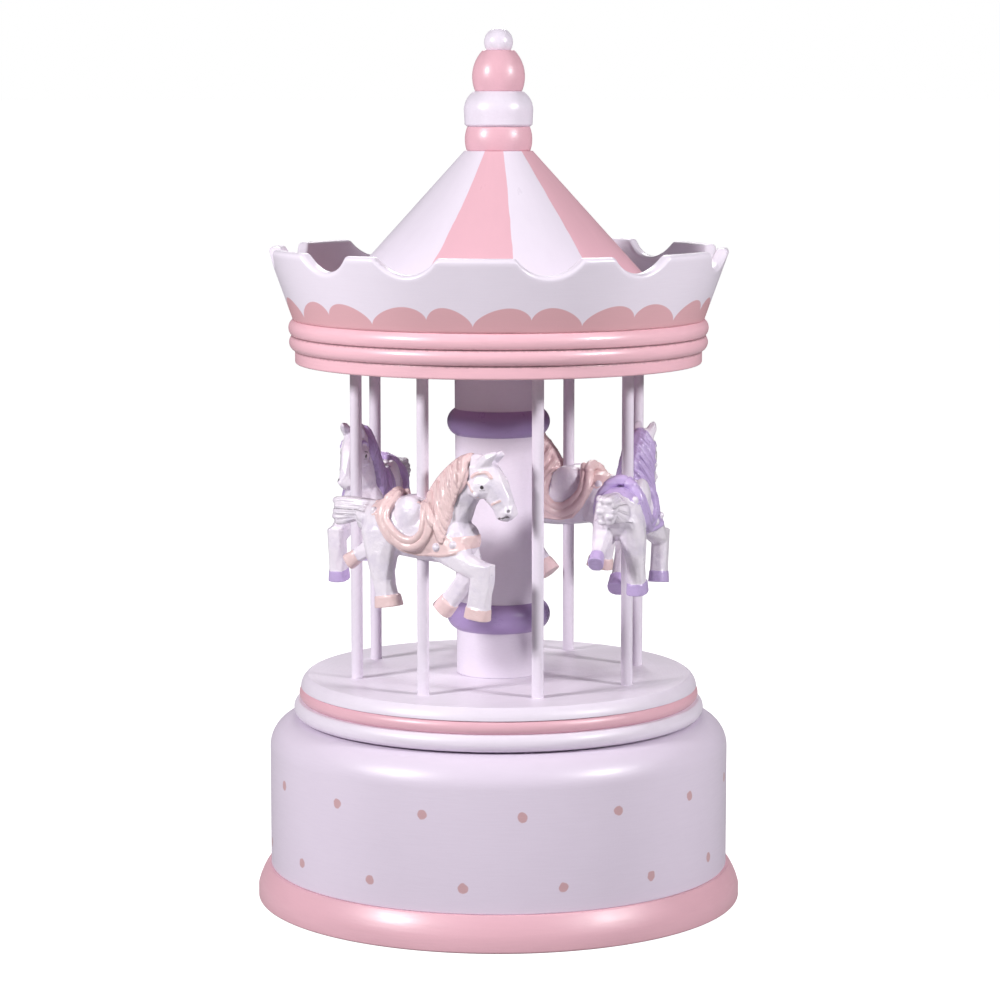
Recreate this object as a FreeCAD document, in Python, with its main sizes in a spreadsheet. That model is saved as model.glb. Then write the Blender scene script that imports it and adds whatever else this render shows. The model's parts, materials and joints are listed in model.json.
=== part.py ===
import FreeCAD, Part
import os
import Sketcher
from FreeCAD import Placement, Rotation, Vector

# A wooden carousel music box. Millimetres, +Z up, origin at the centre of the foot.
# A hollow drum holds an 18-note cylinder movement that hangs from the drum's top.
# The carousel stands on the movement's winding arbor and turns with it.

doc = FreeCAD.newDocument("carousel_music_box")
sheet = doc.addObject("Spreadsheet::Sheet", "dims")

SIZES = (
    # base
    ("foot_radius", 83.9, "skirt, radius at the table"),
    ("foot_band", 4.3, "skirt, height of the upright band"),
    ("skirt_lip", 80.3, "skirt, radius of the top edge"),
    ("skirt_top", 12.0, "skirt, height of the top edge"),
    ("skirt_ledge", 66.0, "skirt, radius inside the cover's ledge"),
    ("ledge_under", 3.2, "skirt, underside of the cover's ledge"),
    ("ledge_top", 7.0, "skirt, height of the drum's seat"),
    ("cover_radius", 72.2, "bottom cover, radius"),
    ("cover_play", 0.1, "bottom cover, gap all round"),
    ("cover_under", 1.4, "bottom cover, height of the underside"),
    ("drum_radius", 79.45, "drum, outside radius"),
    ("drum_spigot", 77.5, "drum, radius of the part let into the skirt"),
    ("drum_bore", 70.0, "drum, inside radius"),
    ("drum_ceiling", 55.0, "drum, height of the inside top"),
    ("drum_shoulder", 10.0, "drum, radius of the rounded shoulder"),
    ("drum_top", 63.2, "drum, height of the top face"),
    ("bush_radius", 5.0, "shaft bush, outside radius"),
    ("washer_radius", 10.0, "thrust washer, outside radius"),
    ("washer_thick", 0.5, "thrust washer, thickness"),
    # carousel
    ("arbor_radius", 3.0, "winding arbor, radius"),
    ("running_fit", 0.05, "radial play of a journal in its bore"),
    ("arbor_foot", 34.0, "winding arbor, lower end"),
    ("arbor_head", 88.0, "winding arbor, upper end inside the column"),
    ("platform_under", 64.0, "platform, underside"),
    ("platform_joint", 69.5, "platform, joint of lower and middle disc"),
    ("platform_step", 74.0, "platform, joint of middle and top disc"),
    ("platform_top", 78.2, "platform, top face"),
    ("lower_disc_radius", 69.6, "platform, lower disc beside its bead"),
    ("middle_disc_radius", 68.0, "platform, middle disc beside its bead"),
    ("top_disc_radius", 68.7, "platform, top disc at its foot"),
    ("top_face_radius", 66.1, "platform, radius of the top face"),
    ("tenon_radius", 8.0, "column, radius of both tenons"),
    ("column_foot", 14.5, "column, radius at the platform"),
    ("column_head", 15.2, "column, radius at the canopy"),
    ("column_top", 187.0, "column, height under the canopy"),
    ("tenon_top", 197.0, "column, end of the upper tenon"),
    ("low_ring_mid", 98.7, "column, height of the lower turned ring"),
    ("low_ring_half", 5.0, "column, half height of the lower ring"),
    ("high_ring_mid", 165.8, "column, height of the upper turned ring"),
    ("high_ring_half", 4.5, "column, half height of the upper ring"),
    ("pole_radius", 2.0, "pole, radius"),
    ("pole_circle", 50.3, "poles, radius of the circle they stand on"),
    ("pole_top", 193.0, "pole, upper end inside the canopy"),
    ("first_pole", -30.0, "angle of the first horse's pole, 0 at the front"),
    ("canopy_brim", 186.2, "canopy, underside of the rim"),
    ("canopy_top", 201.2, "canopy, top face"),
    ("canopy_band", 69.7, "canopy, radius of the lower band"),
    ("crown_foot", 70.5, "crown, outside radius at the canopy"),
    ("crown_lip", 78.4, "crown, outside radius at the lip"),
    ("crown_edge", 223.3, "crown, height where the lip starts to round"),
    ("crown_top", 225.7, "crown, top of the lip"),
    ("crown_wall", 4.4, "crown, wall"),
    ("notch_radius", 13.3, "crown, radius of a scalloped notch"),
    ("notch_mid", 233.3, "crown, height of a notch's centre"),
    ("notch_first", 12.3, "crown, angle of the first notch"),
    ("notch_second", 37.0, "crown, angle of the second notch"),
    ("cone_foot", 63.4, "roof cone, radius at the canopy"),
    ("cone_head", 11.6, "roof cone, radius at the top"),
    ("cone_top", 258.5, "roof cone, height of the top"),
    ("dowel_radius", 2.5, "finial dowel, radius"),
    ("dowel_foot", 246.0, "finial dowel, lower end inside the cone"),
    ("dowel_head", 296.0, "finial dowel, upper end inside the tip"),
    ("collar_top", 266.6, "finial, joint of collar and bell"),
    ("bell_top", 278.6, "finial, joint of bell and ball"),
    ("ball_top", 292.4, "finial, joint of ball and tip"),
    ("overall_height", 300.0, "top of the finial"),
    ("horse_height", 134.0, "horses, middle of the barrel above the table"),
    ("horse_scale", 1.0, "horses, scale of the carving pattern"),
    ("high_horse_lift", 3.5, "every second horse, height above the others"),
    ("high_horse_turn", 15.0, "every second horse, turned in from the circle's direction"),
    # movement
    ("plate_under", 52.0, "bedplate, underside"),
    ("housing_radius", 15.0, "spring housing, outside radius"),
    ("housing_under", 39.4, "spring housing, underside"),
    ("housing_wall", 1.0, "spring housing, wall"),
    ("spring_strip", 0.4, "mainspring, thickness of the strip"),
    ("spring_width", 9.0, "mainspring, width of the strip"),
    ("spring_start", 4.6, "mainspring, radius of the inner coil"),
    ("spring_pitch", 1.25, "mainspring, growth per turn"),
    ("great_module", 1.0, "great wheel and cylinder pinion, tooth module"),
    ("great_teeth", 30, "great wheel, teeth"),
    ("great_face", 2.0, "great wheel, radial width of the teeth"),
    ("axis_height", 30.0, "height of the cylinder's and governor's axes"),
    ("pinion_teeth", 12, "cylinder pinion, teeth"),
    ("cylinder_radius", 6.6, "note cylinder, radius"),
    ("cylinder_start", 22.0, "note cylinder, near end"),
    ("cylinder_end", 42.0, "note cylinder, far end"),
    ("spindle_radius", 1.2, "cylinder arbor, radius"),
    ("pin_radius", 0.2, "note pin, radius"),
    ("pin_height", 0.5, "note pin, height above the cylinder"),
    ("note_pitch", 1.1, "distance between note tracks"),
    ("fine_module", 0.5, "cylinder gear and governor pinion, tooth module"),
    ("gear_teeth", 36, "cylinder gear, teeth"),
    ("governor_offset", 12.0, "governor axis, distance from the cylinder's"),
    ("pivot_radius", 0.8, "governor and worm arbors, radius"),
    ("worm_module", 0.6, "governor wheel and worm, tooth module"),
    ("wheel_teeth", 24, "governor wheel, teeth"),
    ("wheel_place", 48.75, "governor wheel, distance from the winding arbor"),
    ("worm_radius", 2.0, "worm, pitch radius"),
    ("vane_reach", 5.5, "air brake, radius"),
)
for row, (alias, number, meaning) in enumerate(SIZES, 1):
    sheet.set(f"A{row}", meaning)
    sheet.set(f"B{row}", str(number))
    sheet.setAlias(f"B{row}", alias)
doc.recompute()

QUARTER = "0.41421356"
TOOTH_HIGH = 0.7
TOOTH_LOW = 1.0


def new_body(label):
    body = doc.addObject("PartDesign::Body", label)
    body.Label = label
    return body


def origin(body, role):
    return next(item for item in body.Origin.OriginFeatures if item.Role == role)


def sketch_on(body, role, name, height="0"):
    sketch = body.newObject("Sketcher::SketchObject", name)
    sketch.AttachmentSupport = [(origin(body, role), "")]
    sketch.MapMode = "FlatFace"
    sketch.setExpression(".AttachmentOffset.Base.z", height)
    return sketch


def number(sketch, expression):
    return float(sketch.evalExpression(str(expression)))


def place(sketch, point, x, y):
    """Fix a sketch point (geometry, end) at the coordinates the expressions give."""
    for kind, expression in (("DistanceX", x), ("DistanceY", y)):
        value = number(sketch, expression)
        index = sketch.addConstraint(Sketcher.Constraint(kind, -1, 1, *point, value))
        sketch.setExpression(f"Constraints[{index}]", str(expression))


def outline(sketch, corners):
    """Draw a closed outline through (x, y[, bulge]); a bulge makes the next side an arc."""
    spots = [Vector(number(sketch, c[0]), number(sketch, c[1]), 0) for c in corners]
    sides = []
    crests = []
    for index, corner in enumerate(corners):
        following = (index + 1) % len(corners)
        start, end = spots[index], spots[following]
        if len(corner) < 3:
            side = sketch.addGeometry(Part.LineSegment(start, end))
            sides.append((side, 1, 2))
            continue
        ahead = corners[following]
        crest = (
            f"(({corner[0]}) + ({ahead[0]})) / 2 + ({corner[2]}) * (({ahead[1]}) - ({corner[1]})) / 2",
            f"(({corner[1]}) + ({ahead[1]})) / 2 - ({corner[2]}) * (({ahead[0]}) - ({corner[0]})) / 2",
        )
        top = Vector(number(sketch, crest[0]), number(sketch, crest[1]), 0)
        side = sketch.addGeometry(Part.Arc(start, top, end))
        forward = number(sketch, corner[2]) > 0
        sides.append((side, 1, 2) if forward else (side, 2, 1))
        crests.append((side, top, crest))
    for index, (side, _, tail) in enumerate(sides):
        after, head, _ = sides[(index + 1) % len(sides)]
        sketch.addConstraint(Sketcher.Constraint("Coincident", side, tail, after, head))
        place(sketch, (side, sides[index][1]), corners[index][0], corners[index][1])
    for side, top, crest in crests:
        mark = sketch.addGeometry(Part.Point(top), True)
        place(sketch, (mark, 1), *crest)
        sketch.addConstraint(Sketcher.Constraint("PointOnObject", mark, 1, side))


def circle(sketch, x, y, radius):
    middle = Vector(number(sketch, x), number(sketch, y), 0)
    size = number(sketch, radius)
    ring = sketch.addGeometry(Part.Circle(middle, Vector(0, 0, 1), size))
    place(sketch, (ring, 3), x, y)
    index = sketch.addConstraint(Sketcher.Constraint("Radius", ring, size))
    sketch.setExpression(f"Constraints[{index}]", str(radius))


def ellipse(sketch, wide, tall):
    """Draw an ellipse about the sketch's origin with the given half axes."""
    across, upright = number(sketch, wide), number(sketch, tall)
    flat = across >= upright
    longer, shorter = (wide, tall) if flat else (tall, wide)
    far = Vector(across, 0, 0) if flat else Vector(0, upright, 0)
    near = Vector(0, upright, 0) if flat else Vector(across, 0, 0)
    loop = sketch.addGeometry(Part.Ellipse(far, near, Vector(0, 0, 0)))
    sketch.exposeInternalGeometry(loop)
    sketch.addConstraint(Sketcher.Constraint("Coincident", loop, 3, -1, 1))
    sketch.addConstraint(Sketcher.Constraint("Horizontal" if flat else "Vertical", loop + 1))
    for axis, half in ((loop + 1, longer), (loop + 2, shorter)):
        index = sketch.addConstraint(Sketcher.Constraint("Distance", axis, 2 * number(sketch, half)))
        sketch.setExpression(f"Constraints[{index}]", f"2 * ({half})")


def turn(body, corners, cut=False):
    """Revolve an outline of (radius, height) about the body's Z axis."""
    name = f"{body.Label}_profile"
    sketch = sketch_on(body, "XZ_Plane", name)
    outline(sketch, corners)
    feature = body.newObject("PartDesign::Groove" if cut else "PartDesign::Revolution", f"{name}_turned")
    feature.Profile = sketch
    feature.ReferenceAxis = (sketch, ["V_Axis"])
    feature.Angle = 360
    return body


def turned(label, corners):
    return turn(new_body(label), corners)


def pad(body, sketch, length, down=False):
    feature = body.newObject("PartDesign::Pad", f"{sketch.Name}_pad")
    feature.Profile = sketch
    feature.setExpression("Length", str(length))
    feature.Reversed = down
    return feature


def pocket(body, sketch, length, up=False):
    """Cut a sketch down from its plane, or up from it."""
    feature = body.newObject("PartDesign::Pocket", f"{sketch.Name}_cut")
    feature.Profile = sketch
    feature.setExpression("Length", str(length))
    feature.Reversed = up
    return feature


def polar(body, originals, count, axis="Z_Axis"):
    pattern = body.newObject("PartDesign::PolarPattern", f"{body.Name}_round")
    pattern.Originals = originals
    pattern.Axis = (origin(body, axis), [""])
    pattern.Angle = 360
    pattern.setExpression("Occurrences", str(count))
    body.Tip = pattern
    return pattern


def bores(body, name, holes, height, depth, up=False):
    """Sink round holes (x, y, radius) from a horizontal plane."""
    sketch = sketch_on(body, "XY_Plane", name, height)
    for hole in holes:
        circle(sketch, *hole)
    return pocket(body, sketch, depth, up)


def spread(angle, radius):
    """Sketch coordinates on a circle; the angle runs from the front towards +X."""
    return f"({radius}) * sin({angle})", f"-({radius}) * cos({angle})"


def tooth_outline(sketch, teeth, module, width_share):
    """One spur tooth standing on its root circle, pointing along the sketch's X axis."""
    pitch = f"({module}) * ({teeth}) / 2"
    half = f"pi * ({module}) * {width_share} / 2"
    root = f"({pitch}) - {TOOTH_LOW} * ({module})"
    tip = f"({pitch}) + {TOOTH_HIGH} * ({module})"
    slim = f"({half}) - 0.3 * ({module})"
    outline(sketch, (
        (f"({root}) - 0.3 * ({module})", f"-({half}) * 1.05"),
        (pitch, f"-({half})"),
        (tip, f"-({slim})"),
        (tip, slim),
        (pitch, half),
        (f"({root}) - 0.3 * ({module})", f"({half}) * 1.05"),
    ))


def spur_gear(label, teeth, module, start, width, bore, lead, width_share=0.40):
    """A spur gear on the body's Z axis whose first tooth, or gap, stands at the lead angle."""
    body = new_body(label)
    blank = sketch_on(body, "XY_Plane", f"{label}_blank", start)
    circle(blank, 0, 0, f"({module}) * (({teeth}) / 2 - {TOOTH_LOW})")
    circle(blank, 0, 0, bore)
    pad(body, blank, width)
    sketch = sketch_on(body, "XY_Plane", f"{label}_tooth", start)
    sketch.setExpression(".AttachmentOffset.Rotation.Angle", str(lead))
    tooth_outline(sketch, teeth, module, width_share)
    polar(body, [pad(body, sketch, width)], teeth)
    return body


def lay_along_x(body, side="0"):
    """Turn the body's Z axis into +X and lift it to the movement's axis height."""
    body.Placement = Placement(Vector(0, 0, 0), Rotation(Vector(0, 1, 0), 90))
    body.setExpression(".Placement.Base.y", side)
    body.setExpression(".Placement.Base.z", "dims.axis_height")
    return body


def screws(label, places, seat, head, head_thick, shank, reach):
    """Slotted screws driven upwards: heads hang under the seat, shanks rise by reach."""
    body = new_body(label)
    heads = sketch_on(body, "XY_Plane", f"{label}_heads", f"{seat} - {head_thick}")
    shanks = sketch_on(body, "XY_Plane", f"{label}_shanks", seat)
    slots = sketch_on(body, "XY_Plane", f"{label}_slots", f"{seat} - {head_thick}")
    for x, y in places:
        circle(heads, x, y, head)
        circle(shanks, x, y, shank)
        outline(slots, (
            (f"({x}) - 1.15 * {head}", f"({y}) - {head} / 8"),
            (f"({x}) + 1.15 * {head}", f"({y}) - {head} / 8"),
            (f"({x}) + 1.15 * {head}", f"({y}) + {head} / 8"),
            (f"({x}) - 1.15 * {head}", f"({y}) + {head} / 8"),
        ))
    pad(body, heads, head_thick)
    pad(body, shanks, reach)
    pocket(body, slots, f"{head_thick} / 2", up=True)
    return body


# ---- base -------------------------------------------------------------------

COVER_SCREWS = [spread(60 * k, "dims.cover_radius - 3.2") for k in range(6)]
PLATE_SCREWS = [("-16", "-29"), ("-16", "31"), ("56", "-29"), ("56", "31")]
HOUSING_SCREWS = [spread(30 + 120 * k, "dims.housing_radius + 2") for k in range(3)]
COMB_SCREWS = [("24", "-25.5"), ("32", "-25.5"), ("40", "-25.5")]
GOVERNOR_SCREWS = [("dims.wheel_place - 1.9", "32.3"), ("dims.wheel_place + 1.9", "32.3")]
WORM_PLACE = (
    "dims.wheel_place",
    "dims.governor_offset + dims.worm_module * dims.wheel_teeth / 2 + dims.worm_radius",
)

skirt = turned("base_skirt", (
    ("dims.cover_radius + dims.cover_play", "0"),
    ("dims.foot_radius - 0.8", "0", QUARTER),
    ("dims.foot_radius", "0.8"),
    ("dims.foot_radius", "dims.foot_band", "0.1"),
    ("dims.skirt_lip", "dims.skirt_top"),
    ("dims.drum_spigot", "dims.skirt_top"),
    ("dims.drum_spigot", "dims.ledge_top"),
    ("dims.skirt_ledge", "dims.ledge_top"),
    ("dims.skirt_ledge", "dims.ledge_under"),
    ("dims.cover_radius + dims.cover_play", "dims.ledge_under"),
))
bores(skirt, "skirt_pilots", [(x, y, "1.3") for x, y in COVER_SCREWS],
      "dims.ledge_under", "3.2", up=True)

drum = turned("base_drum", (
    ("dims.drum_bore", "dims.ledge_top"),
    ("dims.drum_spigot", "dims.ledge_top"),
    ("dims.drum_spigot", "dims.skirt_top"),
    ("dims.drum_radius", "dims.skirt_top"),
    ("dims.drum_radius", "dims.drum_top - dims.drum_shoulder", QUARTER),
    ("dims.drum_radius - dims.drum_shoulder", "dims.drum_top"),
    ("dims.bush_radius", "dims.drum_top"),
    ("dims.bush_radius", "dims.drum_ceiling"),
    ("dims.drum_bore", "dims.drum_ceiling"),
))
bores(drum, "drum_pilots", [(x, y, "1.5") for x, y in PLATE_SCREWS], "dims.drum_ceiling", "5", up=True)

cover = turned("bottom_cover", (
    ("0", "dims.cover_under"),
    ("dims.cover_radius", "dims.cover_under"),
    ("dims.cover_radius", "dims.ledge_under"),
    ("0", "dims.ledge_under"),
))
bores(cover, "cover_holes", [(x, y, "1.3") for x, y in COVER_SCREWS], "dims.ledge_under", "3")

screws("bottom_cover_screws", COVER_SCREWS, "dims.cover_under", "2.6", "1.1", "1.3",
       "dims.ledge_under - dims.cover_under + 3.2")

turned("shaft_bush", (
    ("dims.arbor_radius + dims.running_fit", "dims.drum_ceiling"),
    ("dims.bush_radius", "dims.drum_ceiling"),
    ("dims.bush_radius", "dims.drum_top"),
    ("dims.arbor_radius + dims.running_fit", "dims.drum_top"),
))

turned("thrust_washer", (
    ("dims.arbor_radius + 0.4", "dims.drum_top"),
    ("dims.washer_radius", "dims.drum_top"),
    ("dims.washer_radius", "dims.drum_top + dims.washer_thick"),
    ("dims.arbor_radius + 0.4", "dims.drum_top + dims.washer_thick"),
))

# ---- movement: fixed parts --------------------------------------------------

plate = new_body("movement_bedplate")
plate_sketch = sketch_on(plate, "XY_Plane", "plate_outline", "dims.plate_under")
outline(plate_sketch, (("-20", "-33"), ("60", "-33"), ("60", "35"), ("-20", "35")))
pad(plate, plate_sketch, "dims.drum_ceiling - dims.plate_under")
POSTS = (
    ("cylinder_post_near", 18.0, 20.5, -3.0, 3.0, 26.8),
    ("cylinder_post_far", 47.5, 50.0, -3.0, 3.0, 26.8),
    ("governor_post_near", 40.0, 42.0, 9.5, 14.5, 27.5),
    ("governor_post_far", 51.5, 54.0, 9.5, 14.5, 27.5),
    ("comb_block", 20.6, 43.4, -29.0, -21.5, 30.5),
)
for name, left, right, front, back, foot in POSTS:
    post = sketch_on(plate, "XY_Plane", name, "dims.plate_under")
    outline(post, ((left, front), (right, front), (right, back), (left, back)))
    pad(plate, post, f"dims.plate_under - {foot}", down=True)
for name, side, radius in (
    ("cylinder_journals", "0", "dims.spindle_radius"),
    ("governor_journals", "dims.governor_offset", "dims.pivot_radius"),
):
    journal = sketch_on(plate, "YZ_Plane", name, "15")
    circle(journal, side, "dims.axis_height", f"{radius} + dims.running_fit")
    pocket(plate, journal, "45", up=True)
bores(plate, "plate_arbor_hole", [("0", "0", "dims.arbor_radius + dims.running_fit")],
      "dims.drum_ceiling", "5")
bores(plate, "plate_worm_pivot", [(*WORM_PLACE, "dims.pivot_radius + dims.running_fit")],
      "dims.plate_under", "2", up=True)
bores(plate, "plate_screw_holes", [(x, y, "1.5") for x, y in PLATE_SCREWS], "dims.drum_ceiling", "5")
bores(plate, "plate_small_holes", [(x, y, "1") for x, y in HOUSING_SCREWS + GOVERNOR_SCREWS],
      "dims.plate_under", "2", up=True)
bores(plate, "comb_block_holes", [(x, y, "1.2") for x, y in COMB_SCREWS], "30.5", "6", up=True)

screws("movement_screws", PLATE_SCREWS, "dims.plate_under", "2.8", "2", "1.5",
       "dims.drum_ceiling - dims.plate_under + 5")

housing = turned("spring_housing", (
    ("dims.arbor_radius + 0.3", "dims.housing_under"),
    ("dims.housing_radius", "dims.housing_under"),
    ("dims.housing_radius", "dims.plate_under"),
    ("dims.housing_radius - dims.housing_wall", "dims.plate_under"),
    ("dims.housing_radius - dims.housing_wall", "dims.housing_under + dims.housing_wall"),
    ("dims.arbor_radius + 0.3", "dims.housing_under + dims.housing_wall"),
))
ears = sketch_on(housing, "XY_Plane", "housing_ears", "dims.plate_under")
for x, y in HOUSING_SCREWS:
    circle(ears, x, y, "2.9")
pad(housing, ears, "1.2", down=True)
bores(housing, "ear_holes", [(x, y, "1") for x, y in HOUSING_SCREWS], "dims.plate_under", "2")
turn(housing, (
    ("dims.arbor_radius + 0.3", "dims.housing_under + dims.housing_wall"),
    ("dims.housing_radius - dims.housing_wall", "dims.housing_under + dims.housing_wall"),
    ("dims.housing_radius - dims.housing_wall", "dims.plate_under"),
    ("dims.arbor_radius + 0.3", "dims.plate_under"),
), cut=True)
screws("housing_screws", HOUSING_SCREWS, "dims.plate_under - 1.2", "1.8", "1", "1", "3.2")

# The mainspring is a strip on edge, swept along a flat spiral.
coil = doc.addObject("Part::Spiral", "spring_line")
coil.setExpression("Growth", "dims.spring_pitch")
coil.setExpression("Radius", "dims.spring_start")
SPRING_END = "dims.housing_radius - dims.housing_wall - 0.5"
coil.setExpression("Rotations", f"({SPRING_END} - dims.spring_start) / dims.spring_pitch")
coil.SegmentLength = 0
coil.setExpression(".Placement.Base.z", "dims.plate_under - 1")
strip = doc.addObject("Part::Plane", "spring_strip_end")
strip.setExpression("Length", "dims.spring_strip")
strip.setExpression("Width", "dims.spring_width")
strip.Placement = Placement(Vector(0, 0, 0), Rotation(Vector(1, 0, 0), 90))
strip.setExpression(".Placement.Base.x", "dims.spring_start - dims.spring_strip / 2")
strip.setExpression(".Placement.Base.z", "dims.plate_under - 1 - dims.spring_width")
spring = doc.addObject("Part::Sweep", "mainspring")
spring.Label = "mainspring"
spring.Sections = [strip]
spring.Spine = (coil, ["Edge1"])
spring.Solid = True
spring.Frenet = True

comb = new_body("comb")
comb_sketch = sketch_on(comb, "XY_Plane", "comb_outline", "dims.axis_height - 0.5")
NOTES = 18
TIP_GAP = "-(dims.cylinder_radius + dims.pin_height + 0.1)"
COMB_LEFT = "((dims.cylinder_start + dims.cylinder_end) / 2 - dims.note_pitch * 9)"
teeth_line = [(COMB_LEFT, "-29")]
for note in range(NOTES):
    slit_depth = 19.5 - 0.32 * note
    left = f"{COMB_LEFT} + dims.note_pitch * {note}"
    right = f"{COMB_LEFT} + dims.note_pitch * {note + 1} - 0.3"
    if note:
        teeth_line.append((left, f"-{slit_depth + 0.32}"))
    teeth_line.append((left, TIP_GAP))
    teeth_line.append((right, TIP_GAP))
    if note < NOTES - 1:
        teeth_line.append((right, f"-{slit_depth}"))
teeth_line.append((f"{COMB_LEFT} + dims.note_pitch * {NOTES} - 0.3", "-29"))
outline(comb_sketch, teeth_line)
pad(comb, comb_sketch, "1")
bores(comb, "comb_holes", [(x, y, "1.2") for x, y in COMB_SCREWS], "dims.axis_height + 1", "3")
screws("comb_screws", COMB_SCREWS, "dims.axis_height - 0.5", "2", "1.2", "1.2", "7")

frame = new_body("governor_frame")
frame_sketch = sketch_on(frame, "YZ_Plane", "governor_frame_side", "dims.wheel_place - 3.5")
outline(frame_sketch, (
    ("18.5", "21"), ("30", "21"), ("30", "dims.plate_under - 1.7"), ("34.5", "dims.plate_under - 1.7"),
    ("34.5", "dims.plate_under"), ("28", "dims.plate_under"), ("28", "23.5"), ("18.5", "23.5"),
))
pad(frame, frame_sketch, "7")
bores(frame, "foot_pivot", [(*WORM_PLACE, "dims.pivot_radius + dims.running_fit")], "23.5", "1.5")
bores(frame, "governor_flange_holes", [(x, y, "1") for x, y in GOVERNOR_SCREWS], "dims.plate_under", "3")
screws("governor_screws", GOVERNOR_SCREWS, "dims.plate_under - 1.7", "1.5", "1", "1", "3.7")

# ---- movement: turning parts ------------------------------------------------

great = turned("great_wheel", (
    ("dims.arbor_radius", "35"),
    ("5", "35"),
    ("5", "37"),
    ("dims.great_module * dims.great_teeth / 2 + dims.great_face / 2", "37"),
    ("dims.great_module * dims.great_teeth / 2 + dims.great_face / 2", "38.6"),
    ("dims.arbor_radius", "38.6"),
))
crown_tooth = sketch_on(great, "YZ_Plane", "great_wheel_tooth",
                        "dims.great_module * dims.great_teeth / 2 - dims.great_face / 2")
GREAT_HALF = "pi * dims.great_module * 0.19"
PITCH_PLANE = "dims.axis_height + dims.great_module * dims.pinion_teeth / 2"
outline(crown_tooth, (
    (f"-({GREAT_HALF}) * 1.4", "37.2"),
    (f"-({GREAT_HALF}) * 0.6", f"{PITCH_PLANE} - {TOOTH_HIGH} * dims.great_module"),
    (f"({GREAT_HALF}) * 0.6", f"{PITCH_PLANE} - {TOOTH_HIGH} * dims.great_module"),
    (f"({GREAT_HALF}) * 1.4", "37.2"),
))
polar(great, [pad(great, crown_tooth, "dims.great_face")], "dims.great_teeth")

turned("winding_arbor", (
    ("0", "dims.arbor_foot"), ("dims.arbor_radius", "dims.arbor_foot"),
    ("dims.arbor_radius", "dims.arbor_head"), ("0", "dims.arbor_head"),
))

lay_along_x(turned("cylinder_arbor", (
    ("0", "13.5"), ("dims.spindle_radius", "13.5"), ("dims.spindle_radius", "50.5"), ("0", "50.5"),
)))
lay_along_x(spur_gear("cylinder_pinion", "dims.pinion_teeth", "dims.great_module", "13.9", "2.4",
                      "dims.spindle_radius", "180 / dims.pinion_teeth"))
lay_along_x(spur_gear("cylinder_gear", "dims.gear_teeth", "dims.fine_module", "44", "2",
                      "dims.spindle_radius", "90"))
notes = turned("note_cylinder", (
    ("dims.spindle_radius", "dims.cylinder_start"), ("dims.cylinder_radius", "dims.cylinder_start"),
    ("dims.cylinder_radius", "dims.cylinder_end"), ("dims.spindle_radius", "dims.cylinder_end"),
))
ROWS = 12
PIN_FOOT = "dims.cylinder_radius - 0.4"
for row in range(ROWS):
    pins = sketch_on(notes, "XZ_Plane", f"pin_row_{row + 1}")
    swing = Rotation(Vector(0, 1, 0), 360 / ROWS * row)
    depth = number(pins, PIN_FOOT)
    pins.AttachmentOffset = Placement(swing.multVec(Vector(0, 0, depth)), swing)
    pins.setExpression(".AttachmentOffset.Base.z", f"({PIN_FOOT}) * cos({360 / ROWS * row})")
    pins.setExpression(".AttachmentOffset.Base.x", f"({PIN_FOOT}) * sin({360 / ROWS * row})")
    for step in range(5):
        track = (row * 7 + step * 4) % NOTES
        circle(pins, "0", f"{COMB_LEFT} + dims.note_pitch * ({track} + 0.36)", "dims.pin_radius")
    pad(notes, pins, "dims.pin_height + 0.4")
lay_along_x(notes)

lay_along_x(turned("governor_arbor", (
    ("0", "39.5"), ("dims.pivot_radius", "39.5"), ("dims.pivot_radius", "54.5"), ("0", "54.5"),
)), "dims.governor_offset")
lay_along_x(spur_gear("governor_pinion", "dims.pinion_teeth", "dims.fine_module", "43.8", "2.4",
                      "dims.pivot_radius", "90 + 180 / dims.pinion_teeth"), "dims.governor_offset")
lay_along_x(spur_gear("governor_wheel", "dims.wheel_teeth", "dims.worm_module", "dims.wheel_place - 0.4",
                      "0.8", "dims.pivot_radius", "90", 0.28), "dims.governor_offset")

worm = turned("governor_worm", (
    ("0", "22.4"), ("dims.pivot_radius", "22.4"), ("dims.pivot_radius", "25.5"), ("1.3", "26"),
    ("1.3", "34"), ("dims.pivot_radius", "34.5"), ("dims.pivot_radius", "53.8"), ("0", "53.8"),
))
WORM_PITCH = "pi * dims.worm_module"
thread = sketch_on(worm, "XZ_Plane", "worm_thread")
THREAD_FOOT = f"dims.axis_height - 2 * {WORM_PITCH}"
outline(thread, (
    ("1.2", f"{THREAD_FOOT} - 0.4"), ("dims.worm_radius + 0.5", f"{THREAD_FOOT} - 0.2"),
    ("dims.worm_radius + 0.5", f"{THREAD_FOOT} + 0.2"), ("1.2", f"{THREAD_FOOT} + 0.4"),
))
helix = worm.newObject("PartDesign::AdditiveHelix", "worm_helix")
helix.Profile = thread
helix.ReferenceAxis = (thread, ["V_Axis"])
helix.Mode = 0
helix.setExpression("Pitch", f"2 * {WORM_PITCH}")
helix.setExpression("Height", f"3 * {WORM_PITCH}")
polar(worm, [helix], "2")
worm.setExpression(".Placement.Base.x", WORM_PLACE[0])
worm.setExpression(".Placement.Base.y", WORM_PLACE[1])

vane = new_body("air_brake")
vane_sketch = sketch_on(vane, "XY_Plane", "vane_outline", "42")
outline(vane_sketch, (
    ("-dims.vane_reach", "-0.3"), ("-1.4", "-0.3"), ("-1.4", "-1.4"), ("1.4", "-1.4"), ("1.4", "-0.3"),
    ("dims.vane_reach", "-0.3"), ("dims.vane_reach", "0.3"), ("1.4", "0.3"), ("1.4", "1.4"),
    ("-1.4", "1.4"), ("-1.4", "0.3"), ("-dims.vane_reach", "0.3"),
))
circle(vane_sketch, "0", "0", "dims.pivot_radius")
pad(vane, vane_sketch, "7")
vane.setExpression(".Placement.Base.x", WORM_PLACE[0])
vane.setExpression(".Placement.Base.y", WORM_PLACE[1])

# ---- carousel: platform and column ------------------------------------------

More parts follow.
